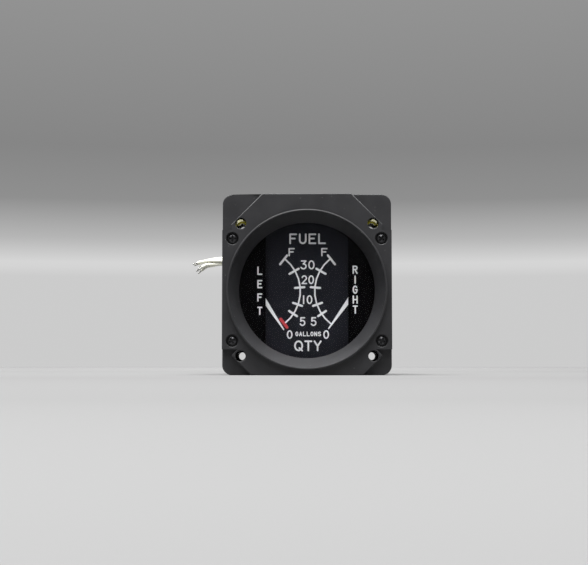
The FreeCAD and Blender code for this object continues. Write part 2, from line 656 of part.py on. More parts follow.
def boxed(label, x, z, half_x, half_z, front, back):
    """A block about (x, z), from front to back."""
    body = new_body(label)
    pad(body, front, back, {"polygons": [[
        (f"{x} - {half_x}", f"{z} - {half_z}"), (f"{x} + {half_x}", f"{z} - {half_z}"),
        (f"{x} + {half_x}", f"{z} + {half_z}"), (f"{x} - {half_x}", f"{z} + {half_z}")]]})
    return body


def make_board_parts():
    """Driver chips, capacitors and the four trimmers that set empty and full for each tank."""
    seat = "board_back"
    chips = [boxed(f"driver_chip_{i}", f"({sx} * chip_x)", "chip_z", "chip_half_x", "chip_half_z", seat,
                   f"{seat} + chip_tall") for i, sx in enumerate((-1, 1), 1)]
    trimmers = [boxed(f"trimmer_{i}", f"({sx} * trimmer_x)", f"({sz} * trimmer_z)", "trimmer_half",
                      "trimmer_half", seat, f"{seat} + trimmer_tall")
                for i, (sx, sz) in enumerate(CORNERS, 1)]
    can = [("0", seat), ("capacitor_radius", seat), ("capacitor_radius", f"{seat} + capacitor_tall"),
           ("0", f"{seat} + capacitor_tall")]
    capacitors = group("capacitors", can, [(f"{s} * capacitor_x", "capacitor_z") for s in (-1, 1)])
    return [gather("driver_chips", chips), gather("trimmers", trimmers), capacitors]


def make_case():
    """Round can: front flange, shoulder behind the movement plate, four screw bosses at the back."""
    body = new_body("case")
    turn(body, [
        ("case_bore", "flange_front"), ("case_flange", "flange_front"), ("case_flange", "flange_back"),
        ("case_radius", "flange_back"), ("case_radius", "case_back"), ("case_inside", "case_back"),
        ("case_inside", "movement_front"), ("case_bore", "movement_front")])
    for sx, sz in CORNERS:
        pad(body, "case_back - boss_long", "cover_front",
            {"circles": [(f"{sx} * boss_offset", f"{sz} * boss_offset", "cover_boss")]})
    pocket(body, "cover_back - cover_screw_long - cut_over", "cover_front + cut_over",
           {"circles": at_corners_circles("boss_offset", "boss_offset", "cover_screw_shank")})
    return body


def make_seals():
    """Rubber rings at the front flange and under the rear cover."""
    front = ring_points("glass_radius + 1.5 * glass_clear", "case_flange", "bezel_depth", "flange_front")
    boss_reach = "boss_offset * sqrt(2) + cover_boss + screw_clear"
    rear = ring_points(boss_reach, "case_radius", "case_back", "cover_front")
    return [turned("case_gasket", front), turned("rear_gasket", rear)]


def make_rear_cover():
    """Round rear cover with its screw holes and the lead outlet."""
    body = new_body("rear_cover")
    pad(body, "cover_front", "cover_back", {"circles": [("0", "0", "case_radius")]})
    pocket(body, "cover_front - cut_over", "cover_back + cut_over", {"circles":
        at_corners_circles("boss_offset", "boss_offset", "cover_screw_shank + screw_clear")
        + [("outlet_x", "outlet_z", "outlet_radius")]})
    dress(body, "Fillet", "cover_round", lambda e: is_circle(e, "case_radius", "cover_back"))
    return body


def make_outlet():
    """Rubber grommet in the cover and the leads that pass through it from the board."""
    lip = "(outlet_radius + grommet_lip)"
    bore = "(lead_radius + fit_gap)"
    nose = f"({bore} + grommet_nose_wall)"
    grommet = turned("grommet", [
        (bore, "cover_front - grommet_lip_thick"), (lip, "cover_front - grommet_lip_thick"),
        (lip, "cover_front"), ("outlet_radius", "cover_front"), ("outlet_radius", "cover_back"),
        (lip, "cover_back"), (lip, "grommet_lip_back"), (nose, "lead_exit"), (bore, "lead_exit"),
    ], "outlet_x", "outlet_z")
    inner = turned("inner_leads", [("0", "board_back"), ("lead_radius", "board_back"),
                                   ("lead_radius", "lead_exit"), ("0", "lead_exit")], "outlet_x", "outlet_z")
    return [grommet, inner]


LEAD_EXIT = V(number("outlet_x"), number("lead_exit"), number("outlet_z"))
LEAD_ROUTE = [LEAD_EXIT + V(*step) for step in (
    (0, 0, 0), (0, 8.9, 0), (-5.0, 18.4, 1.5), (-14.7, 24.4, 3.4), (-26.3, 25.5, 4.6), (-37.0, 23.4, 2.8))]
ARC_SHARE = 0.45


def lead_path(points):
    """Straight runs joined by tangent arcs, each as large as its two runs allow."""
    edges = []
    start = points[0]
    for before, corner, after in zip(points, points[1:], points[2:]):
        back_way, way = (before - corner), (after - corner)
        reach = ARC_SHARE * min(back_way.Length, way.Length)
        back_way.normalize()
        way.normalize()
        half_turn = (math.pi - back_way.getAngle(way)) / 2
        radius = reach / math.tan(half_turn)
        print(f"lead arc radius {radius:.1f} mm, {radius / (2 * number('lead_radius')):.1f} diameters")
        enter, leave = corner + back_way * reach, corner + way * reach
        inward = back_way + way
        inward.normalize()
        middle = corner + inward * (radius / math.cos(half_turn) - radius)
        edges.append(Part.LineSegment(start, enter).toShape())
        edges.append(Part.Arc(enter, middle, leave).toShape())
        start = leave
    edges.append(Part.LineSegment(start, points[-1]).toShape())
    return Part.Wire(edges)


def plain_feature(label, shape):
    feature = doc.addObject("Part::Feature", label)
    feature.Label = label
    feature.Shape = shape
    feature.Placement = FreeCAD.Placement()
    return feature


def make_leads():
    """Free end of the lead bundle and the ends of its single wires."""
    path = lead_path(LEAD_ROUTE)
    radius = number("lead_radius")
    section = Part.Wire([Part.Circle(LEAD_ROUTE[0], LEAD_ROUTE[1] - LEAD_ROUTE[0], radius).toShape()])
    tube = path.makePipeShell([section], True, False)
    print(f"lead bundle length {path.Length:.1f} mm,",
          f"volume over section times length {tube.Volume / (math.pi * radius ** 2 * path.Length):.4f}")
    end = LEAD_ROUTE[-1]
    way = end - LEAD_ROUTE[-2]
    way.normalize()
    side = way.cross(V(0, 0, 1))
    side.normalize()
    up = side.cross(way)
    offset = number("wire_offset")
    wires = [Part.makeCylinder(number("wire_radius"), number("wire_bare"),
                               end + (side * a + up * b) * offset, way) for a, b in CORNERS]
    return [plain_feature("lead_bundle", tube), plain_feature("lead_ends", Part.makeCompound(wires))]


nodes = [make_bezel(), make_mounting_frame()]
nodes += make_nuts()
bezel_screw = screw_outline("screw_sink", "screw_head", "screw_head_tall", "screw_shank", "screw_length")
nodes.append(group("bezel_screws", bezel_screw, at_corners("screw_across", "screw_up")))
nodes += make_window()
nodes.append(make_dial())
dial_screw = screw_outline("dial_front", "dial_screw_head", "dial_screw_head_tall", "dial_screw_shank",
                           "dial_screw_length")
nodes.append(group("dial_screws", dial_screw, at_corners("dial_screw_x", "dial_screw_z")))
for side_name in SIDES:
    nodes.append(make_mask(side_name))
    nodes.append(make_needle(side_name))
    nodes += make_movement(side_name)
nodes.append(make_stop_pins())
nodes.append(make_movement_plate())
nodes += make_electronics()
nodes += make_board_parts()
nodes.append(make_case())
nodes += make_seals()
nodes.append(make_rear_cover())
cover_screw = back_screw_outline("cover_back", "cover_screw_head", "cover_screw_tall", "cover_screw_shank",
                                 "cover_screw_long")
nodes.append(group("cover_screws", cover_screw, at_corners("boss_offset", "boss_offset")))
nodes += make_outlet()
nodes += make_leads()
doc.recompute()

for item in doc.Objects:
    if "Invalid" in item.State or "Error" in item.State:
        raise RuntimeError(f"{item.Label} failed: {item.State}")
for node in nodes:
    if node.Shape.isNull() or not node.Shape.isValid():
        raise RuntimeError(f"{node.Label} has no valid shape")
os.makedirs("parts", exist_ok=True)
for node in nodes:
    node.Shape.exportStep(f"parts/{node.Label}.step")
print(len(nodes), "nodes written")
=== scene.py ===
"""Looks of a dual fuel quantity indicator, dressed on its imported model.

Places are in metres in the model's own frame: the origin is the centre of the four mounting holes on the
bezel plate's front face, +X is to the right, +Y goes back into the panel and +Z is up. The sizes of cut,
turned and engraved pieces are in millimetres.
"""
from __future__ import annotations

import json
import logging
import math
from dataclasses import dataclass, field
from enum import Enum

import bpy
from mathutils import Euler, Matrix, Vector


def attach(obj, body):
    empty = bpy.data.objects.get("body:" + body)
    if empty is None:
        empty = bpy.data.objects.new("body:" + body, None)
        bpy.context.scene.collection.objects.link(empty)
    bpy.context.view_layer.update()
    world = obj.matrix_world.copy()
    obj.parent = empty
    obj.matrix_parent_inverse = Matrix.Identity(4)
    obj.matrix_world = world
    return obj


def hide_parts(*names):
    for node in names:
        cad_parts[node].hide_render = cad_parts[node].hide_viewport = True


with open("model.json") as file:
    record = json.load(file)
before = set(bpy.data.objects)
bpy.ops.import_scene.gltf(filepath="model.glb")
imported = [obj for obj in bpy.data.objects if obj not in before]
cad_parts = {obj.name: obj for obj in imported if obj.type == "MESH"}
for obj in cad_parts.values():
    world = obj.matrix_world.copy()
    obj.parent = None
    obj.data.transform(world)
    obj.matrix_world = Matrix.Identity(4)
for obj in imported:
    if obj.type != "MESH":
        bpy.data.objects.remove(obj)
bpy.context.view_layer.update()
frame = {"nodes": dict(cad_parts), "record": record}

LOG = logging.getLogger("indicator")
MM = 0.001
BODY = "housing"
"""The body that every new piece moves with."""

Point = tuple[float, float]
Place = tuple[float, float, float]
Colour = tuple[float, float, float]
Stroke = list[Point]
Piece = bpy.types.Object
Socket = bpy.types.NodeSocket
Material = bpy.types.Material


class Slot(Enum):
    """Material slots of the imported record."""

    BEZEL = "black_moulding"
    FRAME = "frame_moulding"
    NUT = "yellow_zinc"
    DARK_STEEL = "black_steel"
    GLASS = "window_glass"
    RUBBER = "seal_rubber"
    DIAL = "dial_black"
    MASK = "mask_black"
    NEEDLE = "needle_white"
    BRASS = "brass_turned"
    STEEL = "steel_bright"
    SHAFT = "shaft_steel"
    MAGNET = "magnet_grey"
    COPPER = "copper_wire"
    BOBBIN = "bobbin_resin"
    BOARD = "board_green"
    CHIP = "chip_black"
    TRIMMER = "trimmer_blue"
    CAPACITOR = "capacitor_sleeve"
    CASE = "case_black"
    ALUMINIUM = "aluminium_plain"
    LEAD = "lead_white"


def make_active(piece: Piece) -> None:
    """Select one object alone and make it the active one."""
    bpy.ops.object.select_all(action="DESELECT")
    piece.select_set(True)
    bpy.context.view_layer.objects.active = piece


def apply_modifier(piece: Piece, kind: str, **settings: object) -> None:
    """Add one modifier and apply it at once.

    Args:
        piece: a mesh object.
        kind: the modifier's type, such as "BEVEL".
        settings: values set on the modifier by name.
    """
    make_active(piece)
    modifier = piece.modifiers.new(kind.lower(), kind)
    for name, value in settings.items():
        setattr(modifier, name, value)
    bpy.ops.object.modifier_apply(modifier=modifier.name)


def join(pieces: list[Piece], name: str) -> Piece:
    """Join several mesh objects into one.

    Args:
        pieces: one or more mesh objects.
        name: the joined piece's name.

    Returns:
        The joined object.
    """
    make_active(pieces[0])
    for piece in pieces[1:]:
        piece.select_set(True)
    if len(pieces) > 1:
        bpy.ops.object.join()
    joined = bpy.context.view_layer.objects.active
    joined.name = joined.data.name = name
    return joined


def place_copies(piece: Piece, places: list[Matrix], name: str) -> Piece:
    """Put a copy of an object at each of several places, join the copies and remove the first object.

    Args:
        piece: the object to copy.
        places: where each copy's mesh goes.
        name: the joined piece's name.

    Returns:
        The joined copies, at the origin, with their places in the mesh.
    """
    copies = []
    for place in places:
        twin = piece.copy()
        twin.data = piece.data.copy()
        bpy.context.scene.collection.objects.link(twin)
        twin.data.transform(place)
        copies.append(twin)
    bpy.data.objects.remove(piece)
    return join(copies, name)


def shift(across: float, depth: float, up: float) -> Matrix:
    """Give the matrix that moves a mesh by so many millimetres."""
    return Matrix.Translation((across * MM, depth * MM, up * MM))


def smooth(piece: Piece, angle: float) -> None:
    """Shade an object smooth, with the edges over an angle in degrees kept sharp."""
    make_active(piece)
    bpy.ops.object.shade_smooth_by_angle(angle=math.radians(angle))


def start_outline(places: list[Place], name: str, fill: str) -> Piece:
    """Draw a closed outline from a circle, and leave it selected in edit mode.

    Args:
        places: its points, in millimetres.
        name: the new object's name.
        fill: the circle's fill type, "NGON" for a face or "NOTHING" for its edge alone.

    Returns:
        The new object.
    """
    bpy.ops.object.select_all(action="DESELECT")
    bpy.ops.mesh.primitive_circle_add(vertices=len(places), radius=1.0, fill_type=fill, location=(0, 0, 0))
    piece = bpy.context.view_layer.objects.active
    piece.name = name
    for vertex, place in zip(piece.data.vertices, places):
        vertex.co = [part * MM for part in place]
    bpy.ops.object.mode_set(mode="EDIT")
    bpy.ops.mesh.select_all(action="SELECT")
    return piece


def close_outline(merge: bool) -> None:
    """Point the faces of the mesh in edit mode outwards, and leave edit mode.

    Args:
        merge: merge its doubles first.
    """
    bpy.ops.mesh.select_all(action="SELECT")
    if merge:
        bpy.ops.mesh.remove_doubles(threshold=1e-7)
    bpy.ops.mesh.normals_make_consistent(inside=False)
    bpy.ops.object.mode_set(mode="OBJECT")


def spin_profile(points: list[Point], name: str, steps: int) -> Piece:
    """Spin a closed outline of (radius, depth) about the Y axis.

    Args:
        points: the outline, in millimetres.
        name: the new object's name.
        steps: copies of the outline round the full turn.

    Returns:
        The spun object.
    """
    piece = start_outline([(radius, depth, 0.0) for radius, depth in points], name, "NOTHING")
    bpy.ops.mesh.spin(steps=steps, angle=math.tau, center=(0, 0, 0), axis=(0, 1, 0))
    close_outline(merge=True)
    return piece


def prism(points: list[Point], front: float, back: float, name: str) -> Piece:
    """Extrude a polygon straight back.

    Args:
        points: the outline's (x, z) points, in millimetres.
        front: depth of its front face.
        back: depth of its back face.
        name: the new object's name.

    Returns:
        The closed prism.
    """
    piece = start_outline([(across, front, up) for across, up in points], name, "NGON")
    bpy.ops.mesh.extrude_region_move(TRANSFORM_OT_translate={"value": (0.0, (back - front) * MM, 0.0)})
    close_outline(merge=False)
    return piece


def combine(piece: Piece, tool: Piece, how: str) -> None:
    """Cut one mesh with another, or fuse them, and remove the second.

    Args:
        piece: the mesh that stays.
        tool: the mesh that is used up.
        how: "DIFFERENCE" or "UNION".
    """
    apply_modifier(piece, "BOOLEAN", operation=how, object=tool, solver="EXACT")
    bpy.data.objects.remove(tool)


def draw_curve(places: list[Place], name: str, kind: str) -> tuple[Piece, bpy.types.Spline]:
    """Draw a curve through places in metres.

    Args:
        places: its points.
        name: the new object's name.
        kind: "POLY" or "NURBS".

    Returns:
        The curve's object and its spline.
    """
    curve = bpy.data.curves.new(name, "CURVE")
    curve.dimensions = "3D"
    spline = curve.splines.new(kind)
    spline.points.add(len(places) - 1)
    for point, place in zip(spline.points, places):
        point.co = (*place, 1.0)
    piece = bpy.data.objects.new(name, curve)
    bpy.context.scene.collection.objects.link(piece)
    return piece, spline


def tube(places: list[Place], shares: list[float], radius: float, name: str, rings: int) -> Piece:
    """Skin a line with a closed round tube.

    Args:
        places: the line's points, in metres.
        shares: the tube's share of its radius at each point.
        radius: its radius, in metres.
        name: the new object's name.
        rings: the curve's bevel resolution.

    Returns:
        The tube as a mesh.
    """
    piece, spline = draw_curve(places, name, "POLY")
    piece.data.bevel_depth = radius
    piece.data.bevel_resolution = rings
    piece.data.use_fill_caps = True
    for point, share in zip(spline.points, shares):
        point.radius = share
    make_active(piece)
    bpy.ops.object.convert(target="MESH")
    return piece


def arc(middle: Point, reach: Point, start: float, end: float, steps: int = 0) -> Stroke:
    """Give points along part of an ellipse.

    Args:
        middle: its centre.
        reach: its half axes.
        start: the angle that it starts at, in degrees from +X.
        end: the angle that it ends at.
        steps: parts between the points, or 0 for one about every 12 degrees.

    Returns:
        The points.
    """
    steps = steps or max(2, round(abs(end - start) / 12.0))
    turns = [math.radians(start + (end - start) * step / steps) for step in range(steps + 1)]
    return [(middle[0] + reach[0] * math.cos(turn), middle[1] + reach[1] * math.sin(turn)) for turn in turns]


class Tree:
    """Short way to add and link nodes in one node tree."""

    def __init__(self, tree: bpy.types.NodeTree) -> None:
        """Keep the tree and count its nodes, so that they lie in a row.

        Args:
            tree: the node tree to fill.
        """
        self.tree = tree
        self.count = 0

    def node(self, kind: str, inputs: dict[str | int, object] | None = None,
             **settings: object) -> bpy.types.Node:
        """Add one node.

        Args:
            kind: the node's type name.
            inputs: what its inputs get, as in feed.
            settings: values set on the node by name.

        Returns:
            The new node.
        """
        node = self.tree.nodes.new(kind)
        node.location = (self.count * 180.0, 0.0)
        self.count += 1
        for name, value in settings.items():
            setattr(node, name, value)
        self.feed(node, inputs or {})
        return node

    def add(self, kind: str, inputs: dict[str | int, object] | None = None,
            **settings: object) -> bpy.types.NodeOutputs:
        """Add one node, as the method node does, and give its outputs."""
        return self.node(kind, inputs, **settings).outputs

    def feed(self, node: bpy.types.Node, inputs: dict[str | int, object]) -> None:
        """Link or set a node's inputs.

        Args:
            node: the node.
            inputs: for each label or number of an input, an output to link or a value to set.
        """
        for label, value in inputs.items():
            socket = node.inputs[label]
            if isinstance(value, Socket):
                self.tree.links.new(value, socket)
            else:
                socket.default_value = (*value, 1.0) if socket.type == "RGBA" else value

    def ramp(self, factor: Socket, *stops: tuple[float, Colour]) -> Socket:
        """Turn a value into a colour that runs between stops.

        Args:
            factor: the value.
            stops: rising places, each with its colour.

        Returns:
            The colour.
        """
        node = self.node("ShaderNodeValToRGB", {"Fac": factor})
        elements = node.color_ramp.elements
        while len(elements) < len(stops):
            elements.new(1.0)
        for element, (place, colour) in zip(elements, stops):
            element.position = place
            element.color = (*colour, 1.0)
        return node.outputs["Color"]

    def greys(self, factor: Socket, stops: tuple[Point, ...]) -> Socket:
        """Turn a value into a grey that runs between stops of (place, grey)."""
        return self.ramp(factor, *((place, (level, level, level)) for place, level in stops))

    def spread(self, factor: Socket, low: float, high: float) -> Socket:
        """Map a value from 0..1 to a range from low to high."""
        return self.add("ShaderNodeMapRange", {"Value": factor, "To Min": low, "To Max": high})["Result"]

    def mix(self, factor: Socket, first: object, second: object) -> Socket:
        """Mix two colours: a factor of 0 gives the first and 1 the second."""
        return self.add("ShaderNodeMix", {0: factor, 6: first, 7: second}, data_type="RGBA")[2]

    def compute(self, operation: str, first: object, second: object) -> Socket:
        """Do one sum with two values, each an output or a number."""
        return self.add("ShaderNodeMath", {0: first, 1: second}, operation=operation)[0]

    def bump(self, height: Socket, depth: float) -> Socket:
        """Turn a height from 0 to 1 into normals, where 1 stands so many metres high."""
        return self.add("ShaderNodeBump", {"Strength": 1.0, "Distance": depth, "Height": height})["Normal"]


def new_group(name: str, inputs: dict[str, float],
              outputs: tuple[str, ...]) -> tuple[Tree, bpy.types.NodeOutputs, bpy.types.Node]:
    """Start a shader node group with number sockets and a vector input.

    Args:
        name: the group's name.
        inputs: its number inputs with their usual values.
        outputs: its number outputs.

    Returns:
        The tree, what the group is given, and its output node.
    """
    group = bpy.data.node_groups.new(name, "ShaderNodeTree")
    group.interface.new_socket("Vector", in_out="INPUT", socket_type="NodeSocketVector")
    for label, value in inputs.items():
        socket = group.interface.new_socket(label, in_out="INPUT", socket_type="NodeSocketFloat")
        socket.default_value = value
    for label in outputs:
        group.interface.new_socket(label, in_out="OUTPUT", socket_type="NodeSocketFloat")
    tree = Tree(group)
    return tree, tree.add("NodeGroupInput"), tree.node("NodeGroupOutput")


def make_grain_group() -> bpy.types.NodeTree:
    """Make fine moulded or painted grain, and slow patches.

    Returns:
        The group, with the outputs Grain and Patches from 0 to 1.
    """
    tree, given, end = new_group("surface_grain", {"Grain Scale": 5000.0, "Patch Scale": 140.0},
                                 ("Grain", "Patches"))
    fine = {"Vector": given["Vector"], "Scale": given["Grain Scale"], "Detail": 3.0, "Roughness": 0.6}
    slow = {"Vector": given["Vector"], "Scale": given["Patch Scale"], "Detail": 4.0}
    tree.feed(end, {"Grain": tree.add("ShaderNodeTexNoise", fine)["Fac"],
                    "Patches": tree.add("ShaderNodeTexNoise", slow)["Fac"]})
    return tree.tree


def make_dust_group() -> bpy.types.NodeTree:
    """Make sparse specks of dust.

    Returns:
        The group, with the output Specks of 0 or 1.
    """
    numbers = {"Speck Scale": 900.0, "Speck Size": 0.16, "Bare Share": 0.93}
    tree, given, end = new_group("settled_dust", numbers, ("Specks",))
    cells = tree.add("ShaderNodeTexVoronoi", {"Vector": given["Vector"], "Scale": given["Speck Scale"]},
                     feature="F1")
    near = tree.compute("LESS_THAN", cells["Distance"], given["Speck Size"])
    chance = tree.add("ShaderNodeSeparateColor", {"Color": cells["Color"]})["Red"]
    rare = tree.compute("GREATER_THAN", chance, given["Bare Share"])
    tree.feed(end, {"Specks": tree.compute("MULTIPLY", near, rare)})
    return tree.tree


class Canvas(Tree):
    """The node tree of one material.

    Attributes:
        material: the material.
        shader: its Principled shader.
        place: once it is primed, the coordinates on the piece.
        grain: fine grain, from 0 to 1.
        patches: slow patches, from 0 to 1.
        dust: the shared group of dust specks.
    """

    def __init__(self, name: str) -> None:
        """Start a material with a Principled shader and an output.

        Args:
            name: the material's name.
        """
        self.material = bpy.data.materials.new(name)
        self.material.use_nodes = True
        self.material.node_tree.nodes.clear()
        super().__init__(self.material.node_tree)
        self.shader = self.node("ShaderNodeBsdfPrincipled")
        self.add("ShaderNodeOutputMaterial", {"Surface": self.shader.outputs["BSDF"]})

    def prime(self, workshop: Workshop, grain_scale: float, patch_scale: float) -> None:
        """Add the coordinates on the piece and the shared grain.

        Args:
            workshop: the holder of the shared groups.
            grain_scale: cells of fine grain to the metre.
            patch_scale: cells of slow patches to the metre.
        """
        self.place = self.add("ShaderNodeTexCoord")["Object"]
        scales = {"Vector": self.place, "Grain Scale": grain_scale, "Patch Scale": patch_scale}
        pattern = self.add("ShaderNodeGroup", scales, node_tree=workshop.grain)
        self.grain, self.patches = pattern["Grain"], pattern["Patches"]
        self.dust = workshop.dust


@dataclass(frozen=True)
class Surface:
    """What every finish starts from: a Principled shader, and grain and patches that all finishes share.

    Attributes:
        name: the material's name.
        slot: the record's slot that it belongs to.
        grain_scale: cells of fine grain to the metre.
        patch_scale: cells of slow patches to the metre.
        stops: values of a pattern where the first colour ends and the second begins.
    """

    name: str
    slot: Slot
    grain_scale: float = field(default=5000.0, kw_only=True)
    patch_scale: float = field(default=140.0, kw_only=True)
    stops: Point = field(default=(0.35, 0.65), kw_only=True)

    def build(self, workshop: Workshop) -> Material:
        """Make the material.

        Args:
            workshop: the holder of the shared node groups.

        Returns:
            The new material.
        """
        canvas = Canvas(self.name)
        canvas.prime(workshop, self.grain_scale, self.patch_scale)
        canvas.feed(canvas.shader, self.look(canvas))
        return canvas.material

    def look(self, canvas: Canvas) -> dict[str, object]:
        """Give the shader's inputs, in each finish's own way.

        Args:
            canvas: the primed material.

        Returns:
            For each input's label, an output to link or a value.
        """
        raise NotImplementedError

    def blend(self, canvas: Canvas, pattern: Socket, first: Colour, second: Colour) -> Socket:
        """Turn a pattern into a colour from the first to the second."""
        return canvas.ramp(pattern, (self.stops[0], first), (self.stops[1], second))


@dataclass(frozen=True)
class Finish(Surface):
    """An opaque finish, whose colour and gloss wander together.

    Attributes:
        colour: base colour, linear red, green and blue.
        roughness: the middle of its roughness.
        metallic: 1.0 for bare or plated metal.
        grain: depth of the fine grain, in metres.
        variety: how far colour and gloss wander over the surface, from 0 to 1.
        dust: how pale the dust specks are, from 0 to 1.
        coat: weight of a clear coat.
        specular: the shader's specular level.
        dust_colour: colour of the specks.
    """

    colour: Colour
    roughness: float
    metallic: float = 0.0
    grain: float = 0.00001
    variety: float = 0.25
    dust: float = 0.0
    coat: float = 0.0
    specular: float = 0.5
    dust_colour: Colour = (0.45, 0.45, 0.44)

    def look(self, canvas: Canvas) -> dict[str, object]:
        """Give the shader's inputs, with dust over the colour."""
        low, high = 1.0 - self.variety, 1.0 + self.variety
        shades = [tuple(min(1.0, part * share) for part in self.colour) for share in (low, high)]
        colour = self.blend(canvas, canvas.patches, *shades)
        if self.dust > 0.0:
            specks = canvas.add("ShaderNodeGroup", {"Vector": canvas.place}, node_tree=canvas.dust)["Specks"]
            colour = canvas.mix(canvas.compute("MULTIPLY", specks, self.dust), colour, self.dust_colour)
        rough = canvas.spread(canvas.patches, self.roughness * low, min(1.0, self.roughness * high))
        return {"Base Color": colour, "Roughness": rough, "Metallic": self.metallic,
                "Normal": canvas.bump(canvas.grain, self.grain), "Coat Weight": self.coat,
                "Specular IOR Level": self.specular}


@dataclass(frozen=True)
class ClearFinish(Surface):
    """Coated instrument glass, which hardly reflects and hardly tints what lies behind it.

    Attributes:
        tint: what the glass lets through.
        index: its refractive index, kept low because the coating hides most of the reflection.
        roughness: blur of what it shows.
    """

    tint: Colour
    index: float
    roughness: float
    patch_scale: float = field(default=60.0, kw_only=True)

    def look(self, canvas: Canvas) -> dict[str, object]:
        """Give the shader's inputs, with a faint drift of the blur."""
        return {"Roughness": canvas.spread(canvas.patches, 0.0, 2.0 * self.roughness),
                "Base Color": self.tint, "IOR": self.index, "Transmission Weight": 1.0}


@dataclass(frozen=True)
class ChromateFinish(Surface):
    """Zinc plate with yellow chromate, which drifts between straw, olive and a faint pink.

    Attributes:
        straw: its main colour.
        olive: its darker colour.
        roughness: the middle of its roughness.
        pink: the blush over both.
        blush: the most of it.
        grain: depth of the fine grain, in metres.
    """

    straw: Colour
    olive: Colour
    roughness: float
    pink: Colour = (0.75, 0.45, 0.42)
    blush: float = 0.15
    grain: float = 0.000002
    patch_scale: float = field(default=420.0, kw_only=True)
    stops: Point = field(default=(0.38, 0.62), kw_only=True)

    def look(self, canvas: Canvas) -> dict[str, object]:
        """Give the shader's inputs, with the blush following the grain."""
        tint = self.blend(canvas, canvas.patches, self.olive, self.straw)
        colour = canvas.mix(canvas.spread(canvas.grain, 0.0, self.blush), tint, self.pink)
        return {"Base Color": colour, "Metallic": 1.0, "Normal": canvas.bump(canvas.grain, self.grain),
                "Roughness": canvas.spread(canvas.patches, 0.8 * self.roughness, 1.2 * self.roughness)}


@dataclass(frozen=True)
class WireFinish(Surface):
    """A surface of many round turns side by side, as of a wound coil, with painted shade between the turns.

    Attributes:
        crown: colour of the top of a turn.
        groove_shade: painted shade between two turns, a colour darker than the crown.
        pitch: width of a turn, in metres.
        axis: direction across the turns.
        metallic: 1.0 for bare metal.
        wander: how unevenly the turns lie.
        shade: the most that a patch takes the groove's colour.
        gloss: the roughness of the shiniest and the dullest patch.
        relief: depth of a groove, as a share of the pitch.
    """

    crown: Colour
    groove_shade: Colour
    pitch: float
    axis: str
    metallic: float
    wander: float = 0.4
    shade: float = 0.5
    gloss: Point = (0.28, 0.42)
    relief: float = 0.3
    patch_scale: float = field(default=300.0, kw_only=True)
    stops: Point = field(default=(0.2, 0.8), kw_only=True)

    def look(self, canvas: Canvas) -> dict[str, object]:
        """Give the shader's inputs. A wave texture of scale 1 repeats every 2 pi / 20 of a unit."""
        waves = {"Vector": canvas.place, "Scale": math.tau / 20.0 / self.pitch, "Distortion": self.wander}
        turns = canvas.add("ShaderNodeTexWave", waves, wave_type="BANDS", bands_direction=self.axis)["Fac"]
        shade = canvas.spread(canvas.patches, 0.0, self.shade)
        # Painted shade: the bands darken the colour between the turns, and random patches take that darker
        # colour too.
        colour = canvas.mix(shade, self.blend(canvas, turns, self.groove_shade, self.crown), self.groove_shade)
        return {"Base Color": colour, "Roughness": canvas.spread(canvas.patches, *self.gloss),
                "Metallic": self.metallic, "Normal": canvas.bump(turns, self.relief * self.pitch)}


@dataclass(frozen=True)
class BrushedFinish(Surface):
    """Turned, drawn or rolled metal, with fine lines along one direction.

    Attributes:
        colour: base colour.
        roughness: the middle of its roughness.
        stretch: how fine the lines are along X, Y and Z, in cells to the metre.
        dull: the darker patches' share of the colour.
        line: depth of the lines, in metres.
    """

    colour: Colour
    roughness: float
    stretch: Place
    dull: float = 0.7
    line: float = 0.000004
    stops: Point = field(default=(0.3, 0.6), kw_only=True)

    def look(self, canvas: Canvas) -> dict[str, object]:
        """Give the shader's inputs, with noise drawn out into lines."""
        drawn_out = canvas.add("ShaderNodeMapping", {"Vector": canvas.place, "Scale": self.stretch})["Vector"]
        lines = canvas.add("ShaderNodeTexNoise", {"Vector": drawn_out, "Scale": 1.0, "Detail": 5.0})["Fac"]
        dull = tuple(self.dull * part for part in self.colour)
        return {"Base Color": self.blend(canvas, canvas.patches, dull, self.colour), "Metallic": 1.0,
                "Roughness": canvas.spread(lines, 0.6 * self.roughness, 1.4 * self.roughness),
                "Normal": canvas.bump(lines, self.line)}


BEZEL = Finish("bezel_moulding", Slot.BEZEL, (0.0238, 0.0238, 0.0258), 0.45, grain=0.000012,
               grain_scale=4200.0, variety=0.12, dust=0.15, specular=0.36)
FRAME = Finish("frame_moulding", Slot.FRAME, (0.026, 0.026, 0.028), 0.55, grain=0.00002, variety=0.15,
               dust=0.25)
BLACK_SCREW = Finish("black_oxide", Slot.DARK_STEEL, (0.048, 0.048, 0.051), 0.25, metallic=0.7,
                     grain=0.000006, variety=0.2)
# Near-black dial paint; its bluish tint is a painted reflection of the coated glass in front of the dial.
DIAL = Finish("dial_paint", Slot.DIAL, (0.0115, 0.0118, 0.0172), 0.7, grain=0.000002, variety=0.08,
              specular=0.15)
MASK = Finish("mask_paint", Slot.MASK, (0.0012, 0.001, 0.0018), 0.8, grain=0.000002, variety=0.2,
              specular=0.05)
MARKING = Finish("marking_paint", Slot.NEEDLE, (0.86, 0.86, 0.86), 0.6, grain=0.000004, variety=0.06)
RED_MARKING = Finish("red_marking_paint", Slot.NEEDLE, (0.55, 0.03, 0.038), 0.45, grain=0.000004,
                     variety=0.08)
NEEDLE = Finish("needle_paint", Slot.NEEDLE, (0.94, 0.94, 0.94), 0.5, grain=0.000004, variety=0.05)
RUBBER = Finish("seal_rubber", Slot.RUBBER, (0.018, 0.018, 0.018), 0.75, variety=0.2, dust=0.3)
CASE = Finish("case_paint", Slot.CASE, (0.022, 0.022, 0.024), 0.4, grain=0.00002, grain_scale=2600.0,
              variety=0.15, dust=0.15, coat=0.15)
BOBBIN = Finish("bobbin_resin", Slot.BOBBIN, (0.62, 0.55, 0.38), 0.45, variety=0.08, coat=0.1)
BOARD = Finish("solder_mask", Slot.BOARD, (0.012, 0.11, 0.035), 0.3, grain_scale=1500.0, variety=0.2,
               coat=0.4)
CHIP = Finish("chip_package", Slot.CHIP, (0.02, 0.02, 0.021), 0.6, variety=0.15)
